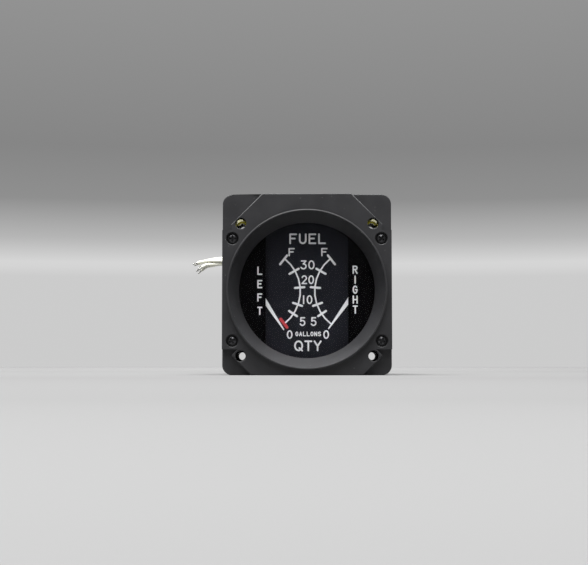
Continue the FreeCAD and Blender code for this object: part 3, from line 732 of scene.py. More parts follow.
TRIMMER = Finish("trimmer_moulding", Slot.TRIMMER, (0.03, 0.09, 0.38), 0.35, variety=0.08, coat=0.2)
CAPACITOR = Finish("capacitor_sleeve", Slot.CAPACITOR, (0.02, 0.025, 0.06), 0.25, variety=0.1, coat=0.4)
MAGNET = Finish("sintered_magnet", Slot.MAGNET, (0.09, 0.09, 0.095), 0.55, metallic=0.7, grain=0.00003,
                variety=0.3)
LEAD = Finish("lead_insulation", Slot.LEAD, (0.8, 0.8, 0.7), 0.36, grain=0.000003, variety=0.05, coat=0.2)
# Painted shade: a near-black colour for the nuts' thread deep in the bore and on its lower side near the
# front, standing in for the shade there.
SHADED_THREAD = Finish("oiled_thread", Slot.NUT, (0.012, 0.011, 0.008), 0.5, metallic=0.3, grain=0.000004,
                variety=0.3)
GLASS = ClearFinish("window_glass", Slot.GLASS, (0.97, 0.98, 0.99), 1.1, 0.01)
YELLOW_ZINC = ChromateFinish("yellow_chromate", Slot.NUT, (0.95, 0.92, 0.29), (0.86, 0.84, 0.24), 0.14)
# Wire finishes: the first colour is the crown of a turn, the second a darker colour painted as the shade
# between turns.
COPPER = WireFinish("enamelled_copper", Slot.COPPER, (0.62, 0.22, 0.08), (0.13, 0.035, 0.012), 0.00018,
                    "Y", 0.8)
STRAND = WireFinish("bare_strand", Slot.LEAD, (0.78, 0.77, 0.74), (0.3, 0.3, 0.29), 0.0002, "X", 1.0)
BRASS = BrushedFinish("turned_brass", Slot.BRASS, (0.72, 0.5, 0.2), 0.3, (2000.0, 9000.0, 2000.0))
STEEL = BrushedFinish("bright_steel", Slot.STEEL, (0.56, 0.56, 0.57), 0.3, (1500.0, 7000.0, 1500.0))
SHAFT = BrushedFinish("polished_shaft", Slot.SHAFT, (0.66, 0.66, 0.67), 0.15, (2000.0, 12000.0, 2000.0))
ALUMINIUM = BrushedFinish("machined_plate", Slot.ALUMINIUM, (0.68, 0.69, 0.7), 0.32,
                          (600.0, 600.0, 9000.0))
NODE_FINISHES: dict[str, Surface] = {finish.slot.value: finish for finish in (
    BEZEL, FRAME, YELLOW_ZINC, BLACK_SCREW, GLASS, RUBBER, DIAL, MASK, NEEDLE, BRASS, STEEL, SHAFT, MAGNET,
    COPPER, BOBBIN, BOARD, CHIP, TRIMMER, CAPACITOR, CASE, ALUMINIUM, LEAD)}
"""The finish of each slot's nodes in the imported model."""


class Workshop:
    """Holds the shared node groups, makes each finish once, and dresses the pieces."""

    def __init__(self) -> None:
        """Make the shared groups."""
        self.grain = make_grain_group()
        self.dust = make_dust_group()
        self.made: dict[str, Material] = {}

    def material(self, finish: Surface) -> Material:
        """Make a finish's material, or give the one that was made before.

        Args:
            finish: the finish.

        Returns:
            Its material.
        """
        if finish.name not in self.made:
            self.made[finish.name] = finish.build(self)
        return self.made[finish.name]

    def dress(self, piece: Piece, finish: Surface, *replaced: str) -> None:
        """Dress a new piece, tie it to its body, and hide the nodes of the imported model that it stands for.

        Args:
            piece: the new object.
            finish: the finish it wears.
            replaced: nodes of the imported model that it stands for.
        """
        piece.data.materials.clear()
        piece.data.materials.append(self.material(finish))
        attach(piece, BODY)
        if replaced:
            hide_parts(*replaced)
        LOG.info("%s: %d faces", piece.name, len(piece.data.polygons))

    def dress_nodes(self) -> None:
        """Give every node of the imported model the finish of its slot."""
        for part in frame["record"]["subparts"]:
            node = frame["nodes"][part["node"]]
            node.data.materials.clear()
            node.data.materials.append(self.material(NODE_FINISHES[part["material_slot"]]))
            LOG.info("%s wears %s", part["node"], part["material_slot"])


@dataclass
class Leads:
    """The bundle of white insulated leads, which ends in its bare strands. Lengths are in metres.

    Attributes:
        route: control points of the bundle's line.
        bundle: the bundle's diameter.
        wire: diameter of one insulated lead.
        count: leads in the bundle.
        twist: turns of the leads about each other over the bundle's length.
        bare: length of the longest end past the bundle.
        shorter: how much less of it each next end has, as a share.
        strip: share of each end that is bare strand.
        strand: diameter of the bare strand.
        cut_end: a lead's share of its radius at its ends.
        sag: how far the loose ends drop and part.
        parting: how much of that is apart in depth, apart in height, and down.
        curl: power of the length that they bend with.
        end_steps: parts of a loose end.
    """

    route: tuple[Place, ...] = (
        (-0.0060, 0.0681, 0.0140), (-0.0060, 0.0770, 0.0140), (-0.0110, 0.0865, 0.0155),
        (-0.0207, 0.0925, 0.0174), (-0.0323, 0.0936, 0.0186), (-0.0430, 0.0915, 0.0168),
    )
    bundle: float = 0.0040
    wire: float = 0.0014
    count: int = 5
    twist: float = 0.9
    bare: float = 0.0060
    shorter: float = 0.1
    strip: float = 0.27
    strand: float = 0.0008
    cut_end: float = 0.8
    sag: float = 0.0022
    parting: tuple[float, float, float] = (0.4, 0.35, 0.75)
    curl: float = 1.5
    end_steps: int = 10

    def __post_init__(self) -> None:
        """Work out the ring on which the leads' middles lie."""
        self.ring = self.bundle / 2 - self.wire / 2

    def centre_line(self) -> list[Vector]:
        """Read the points of the smooth line that the bundle follows.

        Returns:
            The points, from the outlet to the far end.
        """
        carrier, spline = draw_curve(self.route, "lead_line", "NURBS")
        spline.resolution_u = 24
        spline.order_u = 3
        spline.use_endpoint_u = True
        bpy.context.view_layer.update()
        line = bpy.data.meshes.new_from_object(carrier)
        points = [vertex.co.copy() for vertex in line.vertices]
        bpy.data.meshes.remove(line)
        bpy.data.objects.remove(carrier)
        return points

    def wind(self, number: int, points: list[Vector], length: float) -> list[Vector]:
        """Wind one lead round the bundle's line, from side directions that don't twist with it.

        Args:
            number: which lead, from 0.
            points: the bundle's line.
            length: its length.

        Returns:
            The lead's own line.
        """
        across, walked, lead = Vector((0.0, 0.0, 1.0)), 0.0, []
        for before, here, after in zip([points[0], *points], points, [*points[1:], points[-1]]):
            way = (after - before).normalized()
            across = (across - way * across.dot(way)).normalized()
            walked += (here - before).length
            turn = math.tau * (number / self.count + self.twist * walked / length)
            lead.append(here + self.ring * (math.cos(turn) * across + math.sin(turn) * way.cross(across)))
        return lead

    def loose_end(self, lead: list[Vector], centre: Vector, number: int) -> list[Vector]:
        """Carry a lead past the end of the bundle, sagging and bending away from the others.

        Args:
            lead: the lead's line in the bundle.
            centre: the bundle's end.
            number: which lead, from 0.

        Returns:
            The points of its end, from the bundle on.
        """
        way = (lead[-1] - lead[-4]).normalized()
        offset = (lead[-1] - centre) / self.ring
        back, rise, drop = self.parting
        lean = Vector((0.0, back * offset.y, rise * offset.z - drop))
        reach = self.bare * (1.0 - self.shorter * number)
        return [lead[-1] + way * reach * share + lean * self.sag * share ** self.curl
                for share in (step / self.end_steps for step in range(self.end_steps + 1))]

    def skin(self, line: list[Vector], diameter: float, name: str) -> Piece:
        """Skin one line of the bundle, a little drawn in at its ends.

        Args:
            line: its points.
            diameter: its diameter.
            name: the new object's name.

        Returns:
            The lead or strand.
        """
        shares = [self.cut_end, *[1.0] * (len(line) - 2), self.cut_end]
        piece = tube(line, shares, diameter / 2, name, 3)
        smooth(piece, 50.0)
        return piece

    def build(self, workshop: Workshop) -> None:
        """Args:
            workshop: the maker of the materials.
        """
        points = self.centre_line()
        length = sum((b - a).length for a, b in zip(points, points[1:]))
        insulated, ends, strands = [], [], []
        for number in range(self.count):
            lead = self.wind(number, points, length)
            insulated.append(self.skin(lead, self.wire, f"lead_{number}"))
            end = self.loose_end(lead, points[-1], number)
            kept = round(len(end) * (1.0 - self.strip))
            ends.append(self.skin(end[:kept], self.wire, f"lead_end_{number}"))
            strands.append(self.skin(end[kept - 2:], self.strand, f"strand_{number}"))
        bundle = join(insulated, "twisted_leads")
        workshop.dress(bundle, LEAD, "lead_bundle")
        workshop.dress(join(ends, "loose_lead_ends"), LEAD, "lead_ends")
        workshop.dress(join(strands, "bare_strands"), STRAND)


@dataclass(frozen=True)
class Lamp:
    """A soft lamp that faces the object: its name, place, width and depth in metres, and power in watts."""

    name: str
    place: Place
    size: Point
    power: float

    def hang(self) -> None:
        """Put the lamp in the scene."""
        data = bpy.data.lights.new(self.name, "AREA")
        data.shape = "RECTANGLE"
        data.size, data.size_y = self.size
        data.energy = self.power
        lamp = bpy.data.objects.new(self.name, data)
        lamp.location = self.place
        lamp.rotation_euler = (-Vector(self.place)).to_track_quat("-Z", "Y").to_euler()
        bpy.context.scene.collection.objects.link(lamp)


@dataclass
class Studio:
    """Floor, lights, background and camera.

    Attributes:
        floor_level: height of the floor, under the bezel plate's bottom edge.
        floor_side: the floor's side.
        eye: the camera's place.
        pitch: how far it looks up, in degrees.
        yaw: how far it looks to the left, in degrees.
        lens: its focal length in millimetres, on a sensor 36 mm wide.
        ambient: the even light from all round.
        room: the grey of the dim room on the camera's side, as the object mirrors it.
        room_edge: directions, by their Y and Z parts together, where the mirrored room ends.
        backdrop: the background's grey at rising directions, by their Z part.
        floor_painted_light: the floor's grey from its near edge to its far edge, painted light: darkest just
            in front of the object under the lamps, pale at the far edge.
        floor_roughness: its roughness.
        lamps: the lamps.
    """

    floor_level: float
    floor_side: float = 1.8
    eye: Place = (0.0, -0.430, -0.0262)
    pitch: float = 3.81
    yaw: float = 0.61
    lens: float = 74.38
    ambient: float = 0.09
    room: float = 0.1
    room_edge: Point = (-0.7, 0.1)
    backdrop: tuple[Point, ...] = (
        (0.0, 0.6), (0.07, 0.6), (0.081, 0.68), (0.101, 0.468), (0.133, 0.275), (0.175, 0.236), (0.29, 0.29),
        (0.45, 0.4), (0.75, 1.0),
    )
    # Painted light: the floor is darkest just in front of the object, under the lamps, and pale at its far
    # edge.
    floor_painted_light: tuple[Point, ...] = (
        (0.0, 0.235), (0.283, 0.226), (0.339, 0.186), (0.456, 0.176), (0.506, 0.199), (0.611, 0.242),
        (0.69, 0.331), (0.767, 0.43), (0.833, 0.55), (1.0, 0.88),
    )
    floor_roughness: float = 0.9
    lamps: tuple[Lamp, ...] = (
        Lamp("front_softbox", (-0.16, -0.32, 0.69), (0.8, 0.5), 6.8),
        Lamp("overhead_softbox", (-0.02, -0.14, 0.77), (0.9, 0.3), 15.5),
    )

    def make_camera(self) -> None:
        """Put the camera where the photograph was taken from."""
        data = bpy.data.cameras.new("front_view")
        data.lens = self.lens
        data.sensor_width = 36.0
        data.clip_start = 0.01
        camera = bpy.data.objects.new("front_view", data)
        camera.location = self.eye
        camera.rotation_euler = Euler((math.radians(90.0 + self.pitch), 0.0, math.radians(self.yaw)))
        bpy.context.scene.collection.objects.link(camera)
        bpy.context.scene.camera = camera

    def make_floor(self) -> None:
        """Lay a pale floor that keeps the object's shadow, with painted light in its grey: darkest just in
        front of the object under the lamps and paler towards the far edge, so that it shows about one grey to
        the camera.
        """
        bpy.ops.object.select_all(action="DESELECT")
        bpy.ops.mesh.primitive_plane_add(size=self.floor_side, location=(0.0, 0.0, self.floor_level))
        floor = bpy.context.view_layer.objects.active
        floor.name = "studio_floor"
        canvas = Canvas("studio_floor")
        place = canvas.add("ShaderNodeTexCoord")["Generated"]
        far = canvas.add("ShaderNodeSeparateXYZ", {"Vector": place})["Y"]
        # Painted light: the grey follows the floor from its near to its far edge, darker where the lamps
        # light it most.
        canvas.feed(canvas.shader, {"Base Color": canvas.greys(far, self.floor_painted_light),
                                    "Roughness": self.floor_roughness})
        floor.data.materials.append(canvas.material)

    def make_world(self) -> None:
        """Give a plain dim light from all round, and a pale graded background where the camera looks."""
        world = bpy.data.worlds.new("studio")
        bpy.context.scene.world = world
        world.use_nodes = True
        world.node_tree.nodes.clear()
        tree = Tree(world.node_tree)
        way = tree.add("ShaderNodeSeparateXYZ", {"Vector": tree.add("ShaderNodeTexCoord")["Generated"]})
        shade = tree.greys(way["Z"], self.backdrop)
        edge = dict(zip(("From Min", "From Max"), self.room_edge))
        ahead = tree.add("ShaderNodeMapRange", {"Value": tree.compute("ADD", way["Y"], way["Z"]), **edge})
        mirrored = tree.mix(ahead["Result"], (self.room,) * 3, shade)
        ray = tree.add("ShaderNodeLightPath")
        even = tree.mix(ray["Is Glossy Ray"], (self.ambient,) * 3, mirrored)
        seen = tree.compute("MAXIMUM", ray["Is Camera Ray"], ray["Is Transmission Ray"])
        light = tree.add("ShaderNodeBackground", {"Color": tree.mix(seen, even, shade)})
        tree.add("ShaderNodeOutputWorld", {"Surface": light["Background"]})

    def build(self) -> None:
        """Make the whole studio."""
        bpy.context.scene.view_settings.view_transform = "Standard"
        self.make_camera()
        self.make_floor()
        self.make_world()
        for lamp in self.lamps:
            lamp.hang()


@dataclass
class Bezel:
    """Moulded bezel: square plate with stepped corners, round rim and the cone down to the dial.

    Sizes are in millimetres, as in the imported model. The four corners are given by the signs of X and Z.

    Attributes:
        half_width, top, bottom, depth: the plate's reach from the holes' centre, and its thickness.
        corner, edge: roundings of the plate's corners and edges.
        step_drop: depth of the corner steps.
        step_line: X and Z together on a step's slanting edge.
        step_apex: X where the slanting edge ends.
        step_level: height of a step's level edge.
        rim, rim_height, crest: the rim's radius, height and width.
        crest_round, cone_round, foot_round: roundings of the rim outside, inside and at its foot.
        cone_shift: how far the inner rounding lies inside the crest.
        window, cone_depth, lip_back, seat: the cone's small end, the lip behind it and the glass's seat.
        hole_half, hole, hole_round: the mounting holes' places, radius and rounding.
        nut_web, nut_room: plate in front of the upper nuts, and the radius of their pockets.
        screw_x, screw_z, screw_hole: the screws' places and holes.
        sink, sink_depth: radius and depth of the screws' seats.
        over: how far the cutters stand out of the plate.
        rim_steps, hole_steps: faces round the rim and round a hole.
    """

    half_width: float = 30.15
    top: float = 34.3
    bottom: float = 30.4
    depth: float = 8.0
    corner: float = 3.6
    edge: float = 0.36
    step_drop: float = 2.4
    step_line: float = 50.2
    step_apex: float = 26.8
    step_level: float = 21.2
    rim: float = 28.45
    rim_height: float = 1.8
    crest: float = 0.6
    crest_round: float = 0.27
    cone_round: float = 0.12
    cone_shift: float = 0.02
    foot_round: float = 0.3
    window: float = 24.35
    cone_depth: float = 4.5
    lip_back: float = 5.0
    seat: float = 25.65
    hole_half: float = 23.57
    hole: float = 1.95
    hole_round: float = 0.15
    nut_web: float = 3.4
    nut_room: float = 3.05
    screw_x: float = 26.5
    screw_z: float = 18.2
    screw_hole: float = 1.25
    sink: float = 2.2
    sink_depth: float = 1.5
    over: float = 1.0
    rim_steps: int = 160
    hole_steps: int = 48
    corners: tuple[Point, ...] = ((-1, -1), (1, -1), (-1, 1), (1, 1))

    def plate(self) -> Piece:
        """Make the plate with its round corners, stepped corners and softened edges.

        Returns:
            The plate, still without holes.
        """
        outline = []
        for across, up, start in ((1, -1, -90), (1, 1, 0), (-1, 1, 90), (-1, -1, 180)):
            height = self.top if up > 0 else self.bottom
            centre = (across * (self.half_width - self.corner), up * (height - self.corner))
            outline += arc(centre, (self.corner, self.corner), start, start + 90, 12)
        plate = prism(outline, 0.0, self.depth, "bezel_moulding")
        for corner in self.corners:
            self.cut_corner(plate, corner, self.step_outline(corner[1] > 0))
        apply_modifier(plate, "BEVEL", width=self.edge * MM, segments=4, limit_method="ANGLE",
                       angle_limit=math.radians(50.0), use_clamp_overlap=True)
        for corner in self.corners:
            self.cut_corner(plate, corner, self.trim_outline(corner[1] > 0))
        return plate

    def cut_corner(self, plate: Piece, corner: Point, outline: list[Point]) -> None:
        """Cut one corner of the plate down to the step.

        Args:
            plate: the mesh to cut.
            corner: which corner.
            outline: what is cut, as at the upper right corner.
        """
        points = [(corner[0] * x, corner[1] * z) for x, z in outline]
        combine(plate, prism(points, -self.over, self.step_drop, "corner_cutter"), "DIFFERENCE")

    def step_outline(self, upper: bool) -> list[Point]:
        """Give the outline of a corner's step, which stops short of the edges that stay sharp.

        Args:
            upper: whether it is an upper corner.

        Returns:
            The outline.
        """
        far_x = self.half_width + self.over
        far_z = (self.top if upper else self.bottom) + self.over
        apex_z = self.step_line - self.step_apex
        level = self.step_level + self.edge
        apex, notch = (self.step_apex, apex_z), (self.step_apex - apex_z + level, level)
        if upper:
            upright = self.step_apex + self.edge
            apex, notch = (upright, apex_z - self.edge), (upright, level)
        return [(self.step_line - far_z, far_z), apex, notch, (far_x, level), (far_x, far_z)]

    def trim_outline(self, upper: bool) -> list[Point]:
        """Give the outline that takes a corner to its level edge, and an upper one to its upright edge.

        It is cut after the edges are softened, so that these edges stay sharp.

        Args:
            upper: whether it is an upper corner.

        Returns:
            The outline.
        """
        far_x = self.half_width + self.over
        low, high = self.step_level, self.step_level + 2.0 * self.edge
        if upper:
            room, apex_z = self.step_apex + 2.0 * self.edge, self.step_line - self.step_apex
            near = [(room, high), (room, apex_z), (self.step_apex, apex_z), (self.step_apex, low)]
        else:
            lean = 2.0 * self.step_apex - self.step_line
            near = [(high + lean, high), (low + lean, low)]
        return [(far_x, low), (far_x, high), *near]

    def rim_ring(self) -> Piece:
        """Turn the rim with its rounded crest and foot, the cone, the lip and the glass's seat.

        Returns:
            The ring, which reaches through the plate.
        """
        foot, outer, inner = self.foot_round, self.crest_round, self.cone_round
        wide, crest_in = self.rim + foot, self.rim - self.crest
        slope = math.degrees(math.atan2(self.cone_depth + self.rim_height, crest_in - self.window))
        points = [(wide, self.over), *arc((wide, -foot), (foot, foot), 90, 180, 5),
                  *arc((self.rim - outer, outer - self.rim_height), (outer, outer), 0, -90, 5),
                  *arc((crest_in + inner - self.cone_shift, inner - self.rim_height), (inner, inner),
                       -90, slope - 270, 4),
                  (self.window, self.cone_depth), (self.window, self.lip_back), (self.seat, self.lip_back),
                  (self.seat, self.depth), (wide, self.depth)]
        return spin_profile(points, "rim_ring", self.rim_steps)

    def drill(self, plate: Piece, spots: list[Point], profile: list[Point]) -> None:
        """Cut the same turned hole at several places.

        Args:
            plate: the mesh to cut.
            spots: the holes' (x, z) places.
            profile: the hole's outline of (radius, depth).
        """
        for across, up in spots:
            outline = [(0.0, profile[0][1]), *profile, (0.0, profile[-1][1])]
            tool = spin_profile(outline, "drill", self.hole_steps)
            tool.data.transform(shift(across, 0.0, up))
            combine(plate, tool, "DIFFERENCE")

    def build(self, workshop: Workshop) -> None:
        """Build the bezel and dress it.

        Args:
            workshop: the maker of the materials.
        """
        plate = self.plate()
        bore, through = self.rim - self.crest / 2, self.depth + self.over
        self.drill(plate, [(0.0, 0.0)], [(bore, -self.over), (bore, through)])
        combine(plate, self.rim_ring(), "UNION")
        holes = [(x * self.hole_half, z * self.hole_half) for x, z in self.corners]
        wide = self.hole + self.hole_round
        flare = [(wide, -self.over), (wide, 0.0), (self.hole, self.hole_round)]
        self.drill(plate, holes[:2], [*flare, (self.hole, through)])
        self.drill(plate, holes[2:], [*flare, (self.hole, self.nut_web), (self.nut_room, self.nut_web),
                                      (self.nut_room, through)])
        wide = self.sink + self.hole_round
        sink = [(wide, -self.over), (wide, 0.0), (self.sink, self.hole_round), (self.sink, self.sink_depth),
                (self.screw_hole, self.sink_depth), (self.screw_hole, through)]
        self.drill(plate, [(x * self.screw_x, z * self.screw_z) for x, z in self.corners], sink)
        smooth(plate, 30.0)
        apply_modifier(plate, "WEIGHTED_NORMAL", keep_sharp=True)
        workshop.dress(plate, BEZEL, "bezel")


OVAL = [arc((0.5, 0.5), (0.5, 0.5), 0, 360)]
CROSSBAR = [(0.0, 0.53), (0.78, 0.53)]
UPRIGHT = [[(0, 0), (0, 1)]]
GLYPHS: dict[str, tuple[float, list[Stroke]]] = {
    "A": (1.0, [[(0, 0), (0.5, 1), (1, 0)], [(0.2, 0.35), (0.8, 0.35)]]),
    "E": (1.0, [[(1, 0), (0, 0), (0, 1), (1, 1)], CROSSBAR]),
    "F": (1.0, [[(0, 0), (0, 1), (1, 1)], CROSSBAR]),
    "G": (1.0, [[*arc((0.5, 0.5), (0.5, 0.5), 42, 352), (1.0, 0.5), (0.58, 0.5)]]),
    "H": (1.0, [*UPRIGHT, [(1, 0), (1, 1)], [(0, 0.5), (1, 0.5)]]),
    "I": (0.0, UPRIGHT),
    "L": (1.0, [[(0, 1), (0, 0), (1, 0)]]),
    "N": (1.0, [[(0, 0), (0, 1), (1, 0), (1, 1)]]),
    "O": (1.0, OVAL),
    "Q": (1.15, [*OVAL, [(0.6, 0.26), (1.0, -0.03)]]),
    "R": (1.0, [[(0, 0), (0, 1), (0.6, 1), *arc((0.6, 0.765), (0.4, 0.235), 90, -90), (0, 0.53)],
                [(0.45, 0.53), (1, 0)]]),
    "S": (1.0, [[*arc((0.5, 0.745), (0.48, 0.255), 25, 270),
                 *arc((0.5, 0.245), (0.5, 0.245), 90, -155)[1:]]]),
    "T": (1.0, [[(0, 1), (1, 1)], [(0.5, 1), (0.5, 0)]]),
    "U": (1.0, [[(0, 1), *arc((0.5, 0.36), (0.5, 0.36), 180, 360), (1, 1)]]),
    "Y": (1.0, [[(0, 1), (0.5, 0.47), (1, 1)], [(0.5, 0.47), (0.5, 0)]]),
    "0": (1.0, OVAL),
    "1": (0.0, UPRIGHT),
    "2": (1.0, [[*arc((0.5, 0.72), (0.48, 0.28), 165, -30), (0, 0), (1, 0)]]),
    "3": (1.0, [[(0.06, 1), (0.94, 1), (0.4, 0.62), *arc((0.44, 0.31), (0.52, 0.31), 88, -155)]]),
    "5": (1.0, [[(0.92, 1), (0.12, 1), (0.07, 0.56), *arc((0.45, 0.32), (0.52, 0.32), 125, -155)]]),
}
"""Each character's share of the usual width and its strokes, in a cell one wide and one high."""


@dataclass(frozen=True)
class Word:
    """One word, number or letter, as it is engraved.

    Attributes:
        text: its characters.
        left: its left edge.
        right: its right edge.
        low: its lower edge.
        high: its upper edge.
        letter: outside width of a usual character.
        stroke: width of a stroke.
    """

    text: str
    left: float
    right: float
    low: float
    high: float
    letter: float
    stroke: float

    def strokes(self) -> list[tuple[Stroke, float]]:
        """Lay the characters out between the word's edges.

        Returns:
            The middle lines of all strokes, each with its width.
        """
        shares = [GLYPHS[character][0] for character in self.text]
        usual = self.letter - self.stroke
        spare = self.right - self.left - self.stroke - usual * sum(shares)
        gap = spare / (len(self.text) - 1) if len(self.text) > 1 else 0.0
        base, tall = self.low + self.stroke / 2, self.high - self.low - self.stroke
        x = self.left + self.stroke / 2
        laid = []
        for character, share in zip(self.text, shares):
            wide = usual * (share or 1.0)
            laid += [([(x + wide * a, base + tall * b) for a, b in line], self.stroke)
                     for line in GLYPHS[character][1]]
            x += usual * share + gap
        return laid


@dataclass
class Engraver:
    """Makes round-ended, slightly raised strokes on a flat face.

    Attributes:
        sharpest: degrees between two parts of a line past which they are separate strokes.
        cap_turns: degrees round a cap at which it gets a ring.
        flatness: height of a stroke as a share of half its width.
    """

    sharpest: float = 35.0
    cap_turns: tuple[float, ...] = (30.0, 60.0, 85.0)
    flatness: float = 0.09

    def split(self, stroke: Stroke) -> list[Stroke]:
        """Cut a stroke at its sharp corners, so that each part keeps its full width.

        Args:
            stroke: the stroke's middle line.

        Returns:
            The parts between corners.
        """
        parts, part = [], [stroke[0], stroke[1]]
        for before, here, after in zip(stroke, stroke[1:], stroke[2:]):
            one, two = Vector(here) - Vector(before), Vector(after) - Vector(here)
            if one.angle(two, 0.0) > math.radians(self.sharpest):
                parts.append(part)
                part = [here]
            part.append(after)
        return [*parts, part]

    def raise_line(self, line: Stroke, half: float) -> Piece:
        """Skin a line with a tube that narrows to round ends.

        Args:
            line: the line's points.
            half: half the stroke's width.

        Returns:
            The tube, round in section.
        """
        body = [(point, 1.0) for point in line]
        for end, inner, front in ((line[0], line[1], True), (line[-1], line[-2], False)):
            way = (Vector(end) - Vector(inner)).normalized()
            for turn in (math.radians(turn) for turn in self.cap_turns):
                place = (end[0] + way.x * half * math.sin(turn), end[1] + way.y * half * math.sin(turn))
                body.insert(0 if front else len(body), (place, math.cos(turn)))
        places = [(across * MM, 0.0, up * MM) for (across, up), _ in body]
        return tube(places, [share for _, share in body], half * MM, "stroke", 2)

    def engrave(self, strokes: list[tuple[Stroke, float]], depth: float, name: str) -> Piece:
        """Make one mesh of many strokes on a face of constant depth.

        Args:
            strokes: middle lines, each with its width.
            depth: the face's depth.
            name: the new object's name.

        Returns:
            The mesh of all strokes.
        """
        piece = join([self.raise_line(part, width / 2)
                      for stroke, width in strokes for part in self.split(stroke)], name)
        piece.data.transform(shift(0.0, depth, 0.0) @ Matrix.Diagonal((1.0, self.flatness, 1.0, 1.0)))
        smooth(piece, 60.0)
        return piece


@dataclass
class DialMarkings:
    """The dial's two scales, their numbers and words, and the letters on the two side masks.

    Sizes are in millimetres; angles are in degrees above the level line through the needle's hub. Each tick
    is given by its angle and the distance of its nearer end from the hub, and each mask's letters by their
    text, the column's middle, the top edge of the first letter, and the drop from one letter to the next.
    """

    dial_face: float = 10.2
    mask_face: float = 7.7
    pivot: float = 17.6
    print_shift: float = 0.22
    scale_radius: float = 15.0
    scale_line: float = 0.56
    tick_end: float = 16.5
    tick_line: float = 0.8
    full: float = 51.9
    empty: float = -52.3
    ticks: tuple[Point, ...] = ((51.9, 12.4), (29.5, 12.7), (4.9, 13.1), (-19.1, 13.1), (-33.5, 13.1))
    red_line: float = 1.1
    red_start: float = 12.9
    red_end: float = 16.6
    mask_letter: float = 1.85
    mask_tall: float = 3.0
    mask_stroke: float = 0.5
    left_mask: tuple[str, float, float, float] = ("LEFT", -17.0, 8.7, 4.83)
    right_mask: tuple[str, float, float, float] = ("RIGHT", 17.4, 9.05, 3.6)
    words: tuple[Word, ...] = (
        Word("FUEL", -6.4, 6.9, 17.1, 21.0, 2.8, 0.62),
        Word("F", -6.7, -4.4, 12.65, 15.7, 2.3, 0.52), Word("F", 5.2, 7.5, 12.65, 15.7, 2.3, 0.52),
        Word("30", -2.3, 2.8, 7.85, 11.2, 2.3, 0.5), Word("20", -2.0, 2.6, 2.5, 5.75, 2.1, 0.5),
        Word("10", -1.45, 2.0, -4.75, -1.5, 2.1, 0.5),
        Word("5", -2.6, -0.5, -12.7, -9.45, 2.1, 0.5), Word("5", 1.4, 3.4, -12.7, -9.45, 2.1, 0.5),
        Word("0", -7.3, -5.2, -17.35, -14.2, 2.1, 0.5), Word("0", 5.9, 7.9, -17.35, -14.2, 2.1, 0.5),
        Word("GALLONS", -4.2, 5.1, -16.4, -14.7, 1.12, 0.34),
        Word("QTY", -4.65, 5.3, -21.8, -17.9, 2.9, 0.62),
    )

    def spoke(self, side: int, angle: float, start: float, end: float) -> Stroke:
        """Draw a short line that points at a hub.

        Args:
            side: -1 for the left scale and 1 for the right one.
            angle: its angle above the level line.
            start: distance of its nearer end from the hub.
            end: distance of its far end.

        Returns:
            The line's two points.
        """
        turn = math.radians(angle)
        return [(side * (self.pivot - reach * math.cos(turn)) + self.print_shift, reach * math.sin(turn))
                for reach in (start, end)]

    def scale(self, side: int) -> list[tuple[Stroke, float]]:
        """Draw one scale: its long arc and the ticks across it.

        Args:
            side: -1 for the left scale and 1 for the right one.

        Returns:
            The strokes with their widths.
        """
        sweep = arc((0.0, 0.0), (self.scale_radius, self.scale_radius), self.empty, self.full)
        line = [(side * (self.pivot - x) + self.print_shift, z) for x, z in sweep]
        ticks = [self.spoke(side, angle, start, self.tick_end) for angle, start in self.ticks]
        return [(line, self.scale_line), *((tick, self.tick_line) for tick in ticks)]

    def mask_letters(self, text: str, middle: float, first: float, drop: float) -> list[tuple[Stroke, float]]:
        """Draw letters one under another on a mask.

        Args:
            text: the letters from the top down.
            middle: the column's middle.
            first: top edge of the first letter.
            drop: how far each letter stands under the one above.

        Returns:
            The strokes with their widths.
        """
        strokes = []
        for number, letter in enumerate(text):
            high = first - number * drop
            half = (self.mask_letter if GLYPHS[letter][0] else self.mask_stroke) / 2
            strokes += Word(letter, middle - half, middle + half, high - self.mask_tall, high,
                            self.mask_letter, self.mask_stroke).strokes()
        return strokes

    def build(self, workshop: Workshop) -> None:
        """Engrave all the markings and dress them.

        Args:
            workshop: the maker of the materials.
        """
        words = [line for word in self.words for line in word.strokes()]
        bar = [(self.spoke(-1, self.empty, self.red_start, self.red_end), self.red_line)]
        for name, strokes, face, finish in (
                ("dial_scales", [*self.scale(-1), *self.scale(1)], self.dial_face, MARKING),
                ("dial_words", words, self.dial_face, MARKING),
                ("red_empty_mark", bar, self.dial_face, RED_MARKING),
                ("left_mask_letters", self.mask_letters(*self.left_mask), self.mask_face, MARKING),
                ("right_mask_letters", self.mask_letters(*self.right_mask), self.mask_face, MARKING)):
            workshop.dress(Engraver().engrave(strokes, face, name), finish)


